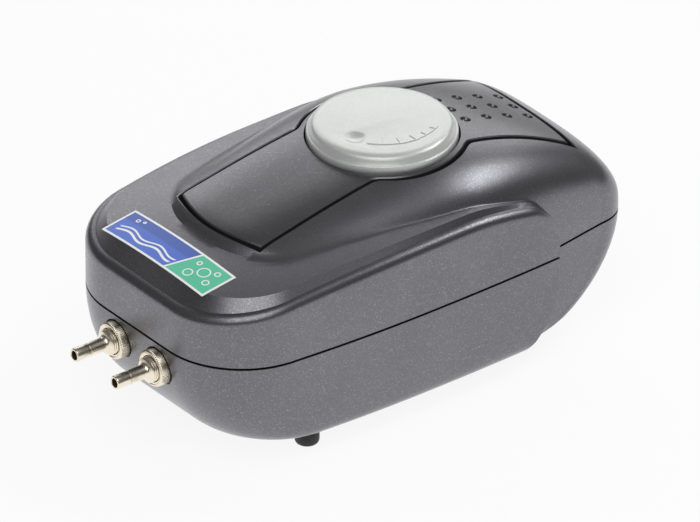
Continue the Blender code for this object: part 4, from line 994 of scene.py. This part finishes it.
class AIRPUMP_OT_lower_case(bpy.types.Operator):
    """Model the lower shell with its nozzle pockets, screw wells and filter bay."""

    bl_idname = "airpump.lower_case"
    bl_label = "Lower case"

    def execute(self, context):
        shell = skin_body("lower_case", lower_half(0.0, 0.8 * SEAM_GAP), True)
        hollow = skin_body("hollow", lower_half(WALL, -1 * MM), True)
        gland = place(0, BODY_LENGTH, GLAND_H), (0, -1, 0)
        nozzles = [(place(side * NOZZLE_X, 0, NOZZLE_H), (0, 1, 0)) for side, _ in SIDES]
        for x, u in SCREW_PLACES:
            combine(hollow, round_tool("boss", x, u, 4.8 * MM, UNDER, -1 * MM, 32))
        wide = NUT_RADIUS + 0.9 * MM
        for at in nozzles:
            combine(hollow, turned("pad", [(wide, -2 * MM), (wide, PAD_DEPTH)], 32, *at))
        wide = GLAND_RADIUS + 1.8 * MM
        combine(hollow, turned("pad", [(wide, -2 * MM), (wide, GLAND_PAD)], 32, *gland))
        combine(hollow, case_block("bay", -FILTER_X - 2 * MM, FILTER_X + 2 * MM,
                                   FILTER_U - 2 * MM, FILTER_U + FILTER_LENGTH + 2 * MM,
                                   UNDER, FILTER_TOP + 2 * MM))
        combine(shell, hollow)
        for x, u in SCREW_PLACES:
            well = about(0, UNDER, (3.7, -1), (3.7, 0), (3.3, 0.4))
            well += about(0, 0, (3.3, -28), (1.8, -28), (1.8, 1))
            combine(shell, turned("well", well, 40, place(x, u, 0)))
        seat, neck = NUT_RADIUS + 0.5 * MM, STEM_RADIUS + GAP
        pocket = [(seat, -1 * MM), (seat, NUT_SEAT_U), (neck, NUT_SEAT_U),
                  (neck, PAD_DEPTH + 1 * MM)]
        for at in nozzles:
            combine(shell, turned("pocket", pocket, 48, *at))
        seat, neck = GLAND_RADIUS + 0.6 * MM, GLAND_NECK + GAP
        pocket = [(seat, -1 * MM), (seat, GLAND_SEAT), (neck, GLAND_SEAT),
                  (neck, GLAND_PAD + 1 * MM)]
        combine(shell, turned("pocket", pocket, 48, *gland))
        combine(shell, case_block("bay", -FILTER_X, FILTER_X, FILTER_U,
                                  FILTER_U + FILTER_LENGTH, UNDER - 1 * MM, FILTER_TOP))
        combine(shell, round_tool("vent", 0, FILTER_U + FILTER_LENGTH / 2, 2.5 * MM,
                                  FILTER_TOP - 1 * MM, FILTER_TOP + 4 * MM, 32))
        fit(smooth(shell, 28), "case", "shell", finish_of("case"), "lower_shell")
        return {"FINISHED"}


class AIRPUMP_OT_top_panel(bpy.types.Operator):
    """Model the inset panel with its chamfered edge, ring and rear dimples."""

    bl_idname = "airpump.top_panel"
    bl_label = "Top panel"

    def execute(self, context):
        chamfer = sizes().chamfer
        layers = [(lambda share: 0.0, -PANEL_THICKNESS), (lambda share: 0.0, -chamfer),
                  (lambda share: -chamfer, 0.0)]
        panel = panel_body("inset_panel", layers, across=24)
        panel.data.materials.append(finish_of("panel"))
        panel.data.materials.append(finish_of("black"))
        # The panel's side walls take the black finish: painted shade on the walls down in the
        # groove.
        for face in panel.data.polygons:
            face.material_index = int(abs(face.normal.z) < 0.5)
        well = [(KNOB_RADIUS + KNOB_GAP, 0), (KNOB_RADIUS + KNOB_GAP, HUMP_TOP + 6 * MM)]
        combine(panel, turned("well", well, 96, place(0, KNOB_U, 0)))
        for i in range(4):
            for k in (-1, 0, 1):
                x, u = k * DOT_PITCH_X, BODY_LENGTH - DOTS_FROM_REAR - i * DOT_PITCH_U
                take()
                radius = sizes().dot_radius
                bpy.ops.mesh.primitive_uv_sphere_add(
                    segments=28, ring_count=14, radius=radius,
                    location=place(x, u, roof(x, u) + 0.3 * radius))
                dot = bpy.context.object
                # The dimple's cut faces take the darker dimple finish: painted shade in each
                # hollow.
                dot.data.materials.append(finish_of("dimple"))
                bpy.ops.object.transform_apply(location=True)
                combine(panel, dot)
        fit(smooth(panel, 28), "case", "panel", finish_of("panel"), "top_panel")
        return {"FINISHED"}


class AIRPUMP_OT_label(bpy.types.Operator):
    """Lay the printed label on the deck in front of the hump."""

    bl_idname = "airpump.label"
    bl_label = "Label"

    def execute(self, context):
        take()
        bpy.ops.mesh.primitive_grid_add(x_subdivisions=60, y_subdivisions=20, size=1)
        label = bpy.context.object
        label.name = label.data.name = "deck_label"
        for vert in label.data.vertices:
            x = LABEL_MIDDLE_X + vert.co.x * sizes().label_length
            u = LABEL_MIDDLE_U + vert.co.y * sizes().label_width
            vert.co = place(x, u, roof(x, u) + 0.13 * MM)
        film = label.modifiers.new("film", "SOLIDIFY")
        film.thickness = 0.10 * MM
        film.offset = -1
        bpy.ops.object.modifier_apply(modifier=film.name)
        tone = colours()
        printed = printed_label(tone.blue, tinted(tone.blue, 0.72), tone.green,
                                (0.88, 0.89, 0.90))
        fit(smooth(label), "case", "panel", printed)
        return {"FINISHED"}


# --- knob and outlets --------
class AIRPUMP_OT_flow_knob(bpy.types.Operator):
    """Model the flow knob: skirt, shoulder, finger dimple and a growing scale."""

    bl_idname = "airpump.flow_knob"
    bl_label = "Flow knob"

    def execute(self, context):
        bore = SPINDLE_RADIUS + GAP
        rings = [(bore, 4.6 * MM), (bore, 0)]
        rings += about(KNOB_RADIUS, 0, (-0.5, 0), (-0.1, 0.15), (0, 0.5), (0, 2.9), (-0.1, 3.2),
                       (-0.35, 3.4), (-0.65, 3.42), (-0.8, 3.6), (-1.4, 4.9), (-1.65, 5.4),
                       (-2.0, 5.8), (-2.5, 6.1), (-3.2, 6.35), (-4.0, 6.46), (-4.8, 6.5))
        centre = place(0, KNOB_U, KNOB_H)
        knob = turned("satin_knob", rings, 128, centre)
        dish = about(0, 0, (0.4, -0.95), (1.3, -0.88), (2.2, -0.66), (2.9, -0.38), (3.4, -0.16),
                     (3.8, -0.04), (4.2, 0.01), (4.2, 1))
        dish_place = centre + Vector((3.2 * MM, -13.8 * MM, KNOB_FACE))
        combine(knob, turned("dish", dish, 64, dish_place))
        arc = ((-55.6, 15.8), (-48, 15.6), (-38, 15.6), (-27, 15.8), (-17, 16.1), (-8, 16.4),
               (5, 16.9), (18, 17.3), (29, 17.9), (40, 18.7))
        for (turn, far), (next_turn, next_far) in zip(arc, arc[1:]):
            self.raise_rib(knob, centre, self.spot(turn, far), self.spot(next_turn, next_far))
        for turn, near, far in ((-36.6, 11.4, 15.6), (-14.8, 12.9, 16.1), (5.5, 13.6, 16.9),
                                (21.4, 15.3, 17.4), (37, 16.6, 18.5)):
            self.raise_rib(knob, centre, self.spot(turn, near), self.spot(turn, far))
        fit(smooth(knob), "knob", "knob", finish_of("knob"), "flow_knob")
        return {"FINISHED"}

    def spot(self, turn, far):
        angle = math.radians(turn)
        return Vector((math.cos(angle), math.sin(angle), 0)) * far * MM

    def raise_rib(self, knob, centre, start, end):
        """Raise one rib of the scale between two spots on the knob's face."""
        half, top = 0.28 * MM, KNOB_FACE
        along = end - start
        rib = block("rib", (-half, -half, top - 0.4 * MM),
                    (along.length + half, half, top + 0.24 * MM), 0.12 * MM, 2)
        rib.data.transform(Matrix.Rotation(math.atan2(along.y, along.x), 4, "Z"))
        rib.data.transform(Matrix.Translation(centre + start))
        combine(knob, rib, "UNION")


class AIRPUMP_OT_outlets(bpy.types.Operator):
    """Model both hose nozzles and their knurled ring nuts."""

    bl_idname = "airpump.outlets"
    bl_label = "Outlets"

    def execute(self, context):
        centre, forward = place(-NOZZLE_X, 0, NOZZLE_H), (0, -1, 0)
        face = NUT_LENGTH + GAP - NUT_SEAT_U
        tip, r = NOZZLE_REACH, TUBE_RADIUS
        flange = -(PAD_DEPTH + 1.2 * MM + 2 * GAP)
        rings = about(0, flange, (0.9, -9.5), (1.6, -9.5), (1.6, -1.6), (5.9, -1.6), (5.9, 0))
        rings += about(STEM_RADIUS, flange, (-0.3, 0))
        pitch, turns = 0.8, 14
        for k in range(turns):
            start = 1.7 + pitch * (k - turns)
            rings += about(STEM_RADIUS, face, (-0.3, start + 0.05 * pitch),
                           (0, start + 0.42 * pitch), (0, start + 0.58 * pitch),
                           (-0.3, start + 0.95 * pitch))
        rings += about(STEM_RADIUS, face, (-0.5, 1.8))
        rings += about(r, face, (0.8, 2.0), (0.45, 2.2), (0.25, 2.5), (0.1, 2.9), (0.02, 3.4),
                       (0, 4.0))
        rings += about(r, tip, (0, -5.75), (-0.2, -5.65), (-0.2, -5.45), (-0.02, -5.3),
                       (0, -5.2), (0, -0.4), (-0.1, -0.12), (-0.3, 0))
        rings += about(BORE_RADIUS, tip, (0.15, 0), (0, -0.15), (0, -12))
        rings += about(0, tip, (0.9, -12.6)) + about(0, flange, (0.9, -9.5))
        nozzle = smooth(turned("left_hose_nozzle", rings, 56, centre, forward), 40)
        nut = self.ring_nut(centre, forward, face)
        shift = Vector((2 * NOZZLE_X, 0, 0))
        pairs = [(nozzle, nut), (twin(nozzle, "right_hose_nozzle", shift),
                                 twin(nut, "right_ring_nut", shift))]
        for (_, hand), (tube, ring) in zip(SIDES, pairs):
            fit(tube, "case", "nickel", finish_of("nickel"), hand + "_outlet_nozzle")
            fit(ring, "case", "nickel", finish_of("nickel"), hand + "_nozzle_nut")
        dress(finish_of("rubber"), "left_nozzle_seal", "right_nozzle_seal")
        return {"FINISHED"}

    def ring_nut(self, centre, forward, face):
        bore, back, rim = STEM_RADIUS + GAP, GAP - NUT_SEAT_U, NUT_RADIUS
        rings = about(bore, back, (0, 0))
        rings += about(rim, back, (-0.6, 0), (-0.25, 0.2), (0, 0.6))
        rings += about(rim, face, (0, -0.75), (-0.2, -0.4), (-0.5, -0.12), (-0.9, 0))
        rings += about(bore, face, (0.9, 0), (0.6, -0.25), (0.1, -0.3), (0, -0.5))
        rings += about(bore, back, (0, 0))
        sides = 4 * sizes().knurls
        nut = turned("left_ring_nut", rings, sides)
        edit(nut)
        turn = 2 * math.pi / sides

        def in_groove(co):
            column = round(math.atan2(co.y, co.x) / turn) % 4
            return co.xy.length > rim - 0.3 * MM and column in (0, 1)

        pick(nut, in_groove)
        share = 1 - 0.16 * MM / rim
        bpy.ops.transform.resize(value=(share, share, 1), center_override=(0, 0, 0))
        return smooth(settle(nut, centre, forward))


# --- underside, rubber parts, inside --------
class AIRPUMP_OT_underside(bpy.types.Operator):
    """Model the case screws' heads and the slotted filter cover."""

    bl_idname = "airpump.underside"
    bl_label = "Underside"

    def execute(self, context):
        x0, u0 = SCREW_PLACES[0]
        rings = about(0, HEAD_LOW, (1.4, 0), (2.4, 0.15), (2.85, 0.55), (3.0, 1.1), (3.0, 2.0),
                      (1.5, 2.0))
        rings += about(0, 0, (1.5, 11.2), (0.9, 12.0))
        screw = turned(CORNERS[0] + "_cross_screw", rings, 36, place(x0, u0, 0))
        for long, wide in ((1.7, 0.35), (0.35, 1.7)):
            combine(screw, case_block("cross", x0 - long * MM, x0 + long * MM, u0 - wide * MM,
                                      u0 + wide * MM, HEAD_LOW - 1 * MM, HEAD_LOW + 1.2 * MM))
        spread(smooth(screw, 35), SCREW_PLACES, "_cross_screw", "_case_screw", "steel")
        x, low, high = FILTER_X - GAP, FILTER_U + GAP, FILTER_U + FILTER_LENGTH - GAP
        cover = case_block("slotted_cover", -x, x, low, high, UNDER + 0.2 * MM, UNDER + 1.9 * MM,
                           0.3 * MM)
        pitch = FILTER_LENGTH / 6
        for k in range(1, 6):
            u = FILTER_U + pitch * k
            slot = case_block("slot", 3 * MM - x, x - 3 * MM, u - 0.7 * MM, u + 0.7 * MM,
                              UNDER - 1 * MM, UNDER + 3 * MM)
            edit(slot)
            bm = bmesh.from_edit_mesh(slot.data)
            for edge in bm.edges:
                edge.select = abs((edge.verts[0].co - edge.verts[1].co).normalized().z) > 0.9
            bmesh.update_edit_mesh(slot.data)
            bpy.ops.mesh.bevel(offset=0.65 * MM, segments=5, affect="EDGES")
            combine(cover, slot)
        fit(smooth(cover), "case", "shell", finish_of("case"), "filter_cover")
        dress(finish_of("felt"), "filter_felt")
        return {"FINISHED"}


class AIRPUMP_OT_rubber_parts(bpy.types.Operator):
    """Model the four feet and the cord gland, and finish the gasket."""

    bl_idname = "airpump.rubber_parts"
    bl_label = "Rubber parts"

    def execute(self, context):
        top = FOOT_STAND - GAP
        rings = [(1.5 * MM, 0)]
        rings += about(FOOT_RADIUS, 0, (-1.25, 0), (-0.75, 0.15), (-0.35, 0.5), (-0.1, 1.0),
                       (0, 1.7))
        rings += about(FOOT_RADIUS, top, (0, -0.5), (-0.12, -0.15), (-0.4, 0))
        rings += [(1.6 * MM, top), (1.6 * MM, 9.1 * MM)]
        pad = turned(CORNERS[0] + "_pad", rings, 48, place(*FOOT_PLACES[0], -SEAM_Z))
        spread(smooth(pad, 40), FOOT_PLACES, "_pad", "_foot", "rubber")
        bore, inner_face, lip = 2.3 * MM, GLAND_PAD + GAP, GLAND_SEAT - GAP
        rings = about(bore, lip, (0, -2.7), (0.5, -3.1))
        rings += about(GLAND_RADIUS, lip, (-1.9, -3.2), (-1.2, -3.0), (-0.5, -2.4),
                       (-0.1, -1.7), (0, -1.2), (0, 0))
        rings += [(GLAND_NECK, lip), (GLAND_NECK, inner_face)]
        rings += about(GLAND_RADIUS, inner_face, (0, 0), (0, 0.6), (-0.8, 2.4))
        rings += about(bore, inner_face, (0, 2.4)) + about(bore, lip, (0, -2.7))
        gland = turned("tail_gland", rings, 48, place(0, BODY_LENGTH, GLAND_H), (0, -1, 0))
        fit(smooth(gland, 40), "case", "rubber", finish_of("rubber"), "cord_gland")
        dress(finish_of("rubber"), "case_gasket")
        return {"FINISHED"}


class AIRPUMP_OT_inner_works(bpy.types.Operator):
    """Finish the CAD nodes that work inside the case."""

    bl_idname = "airpump.inner_works"
    bl_label = "Inner works"

    def execute(self, context):
        for kind, nodes in (("nylon", "knob_spindle coil_bobbin"), ("winding", "coil_winding"),
                            ("core", "laminated_core"), ("board", "circuit_board"),
                            ("black", "potentiometer triac"), ("film", "film_capacitor")):
            dress(finish_of(kind), *nodes.split())
        handed = (("rubber", "air_hose diaphragm pivot_bush"),
                  ("black", "pump_chamber chamber_cover"), ("silicone", "inlet_flap outlet_flap"),
                  ("nylon", "swing_arm"), ("magnet", "magnet"),
                  ("steel", "diaphragm_screw core_screw board_screw"))
        for _, hand in SIDES:
            for kind, nodes in handed:
                dress(finish_of(kind), *[hand + "_" + node for node in nodes.split()])
        return {"FINISHED"}


# --- stage --------
class AIRPUMP_OT_stage(bpy.types.Operator):
    """Set the floor, the soft lamps, the white surround and the camera."""

    bl_idname = "airpump.stage"
    bl_label = "Stage"

    def execute(self, context):
        self.floor()
        self.surround()
        for name, direction, distance, size, power in LAMPS:
            lamp = bpy.data.lights.new(name, "AREA")
            lamp.shape = "RECTANGLE"
            lamp.size, lamp.size_y = size
            lamp.energy = power
            self.aimed(name, lamp, direction, distance)
        lens = bpy.data.cameras.new("view")
        lens.sensor_width = 36.0
        lens.lens = lens.sensor_width * VIEW_DISTANCE / VIEW_WIDTH
        lens.clip_start, lens.clip_end = 0.05, 60.0
        camera = self.aimed("view", lens, TOWARDS_CAMERA, VIEW_DISTANCE)
        bpy.context.scene.camera = camera
        bpy.context.scene.view_settings.view_transform = "Standard"
        return {"FINISHED"}

    def aimed(self, name, data, direction, distance):
        """Stand a lamp or the camera off in a direction, looking at the pump."""
        made = bpy.data.objects.new(name, data)
        bpy.context.collection.objects.link(made)
        made.location = AIM + Vector(direction).normalized() * distance
        made.rotation_euler = (AIM - made.location).to_track_quat("-Z", "Y").to_euler()
        return made

    def floor(self):
        take()
        bpy.ops.mesh.primitive_plane_add(size=8, location=(0, 0, -0.05 * MM))
        floor = bpy.context.object
        floor.name = floor.data.name = "floor"
        bpy.ops.object.transform_apply(location=True)
        paper = Finish("white_paper", (0.86, 0.86, 0.86), 0.9)
        path = paper.node("ShaderNodeLightPath")
        seen = [Value(paper, path.outputs[name]) for name in
                ("Is Camera Ray", "Is Glossy Ray", "Is Transmission Ray")]
        strength = seen[1] * (FLOOR_MIRRORED - 1) + 1.0
        glow = paper.node("ShaderNodeEmission", None,
                          {"Color": (1, 1, 1, 1), "Strength": strength})
        both = paper.node("ShaderNodeMixShader", None, {
            0: seen[0] * FLOOR_SEEN + seen[1] + seen[2] * FLOOR_THROUGH,
            1: Value(paper, paper.shader.outputs[0]), 2: Value(paper, glow.outputs[0])})
        end = paper.tree.nodes["Material Output"]
        paper.tree.links.new(both.outputs[0], end.inputs["Surface"])
        floor.data.materials.append(paper.material)

    def surround(self):
        world = bpy.context.scene.world or bpy.data.worlds.new("surround")
        bpy.context.scene.world = world
        world.use_nodes = True
        nodes, links = world.node_tree.nodes, world.node_tree.links
        nodes.clear()
        end = nodes.new("ShaderNodeOutputWorld")
        path = nodes.new("ShaderNodeLightPath")
        soft, white = nodes.new("ShaderNodeBackground"), nodes.new("ShaderNodeBackground")
        for background, strength in ((soft, SURROUND), (white, 1.0)):
            background.inputs["Color"].default_value = (1, 1, 1, 1)
            background.inputs["Strength"].default_value = strength
        mix = nodes.new("ShaderNodeMixShader")
        links.new(path.outputs["Is Camera Ray"], mix.inputs[0])
        links.new(soft.outputs[0], mix.inputs[1])
        links.new(white.outputs[0], mix.inputs[2])
        links.new(mix.outputs[0], end.inputs["Surface"])


# --- sidebar and registration --------
STEPS = (AIRPUMP_OT_upper_case, AIRPUMP_OT_lower_case, AIRPUMP_OT_top_panel, AIRPUMP_OT_label,
         AIRPUMP_OT_flow_knob, AIRPUMP_OT_outlets, AIRPUMP_OT_underside,
         AIRPUMP_OT_rubber_parts, AIRPUMP_OT_inner_works, AIRPUMP_OT_stage)


class AIRPUMP_PT_sidebar(bpy.types.Panel):
    """Sizes, colours and steps of the air pump."""

    bl_label = "Air Pump"
    bl_idname = "AIRPUMP_PT_sidebar"
    bl_space_type = "VIEW_3D"
    bl_region_type = "UI"
    bl_category = "Air Pump"

    def draw(self, context):
        for group in (sizes(), colours()):
            column = self.layout.column()
            for name in group.bl_rna.properties.keys():
                if name not in ("rna_type", "name"):
                    column.prop(group, name)
        column = self.layout.column()
        for step in STEPS:
            column.operator(step.bl_idname)


CLASSES = (AirPumpSizes, AirPumpColours, *STEPS, AIRPUMP_PT_sidebar)


def register():
    for kind in CLASSES:
        bpy.utils.register_class(kind)
    bpy.types.Scene.air_pump_sizes = PointerProperty(type=AirPumpSizes)
    bpy.types.Scene.air_pump_colours = PointerProperty(type=AirPumpColours)


def unregister():
    del bpy.types.Scene.air_pump_colours
    del bpy.types.Scene.air_pump_sizes
    for kind in reversed(CLASSES):
        bpy.utils.unregister_class(kind)


def main():
    register()
    for step in STEPS:
        group, name = step.bl_idname.split(".")
        if getattr(getattr(bpy.ops, group), name)() != {"FINISHED"}:
            raise RuntimeError(step.bl_label + " was not finished")
    take()


if __name__ == "__main__":
    main()
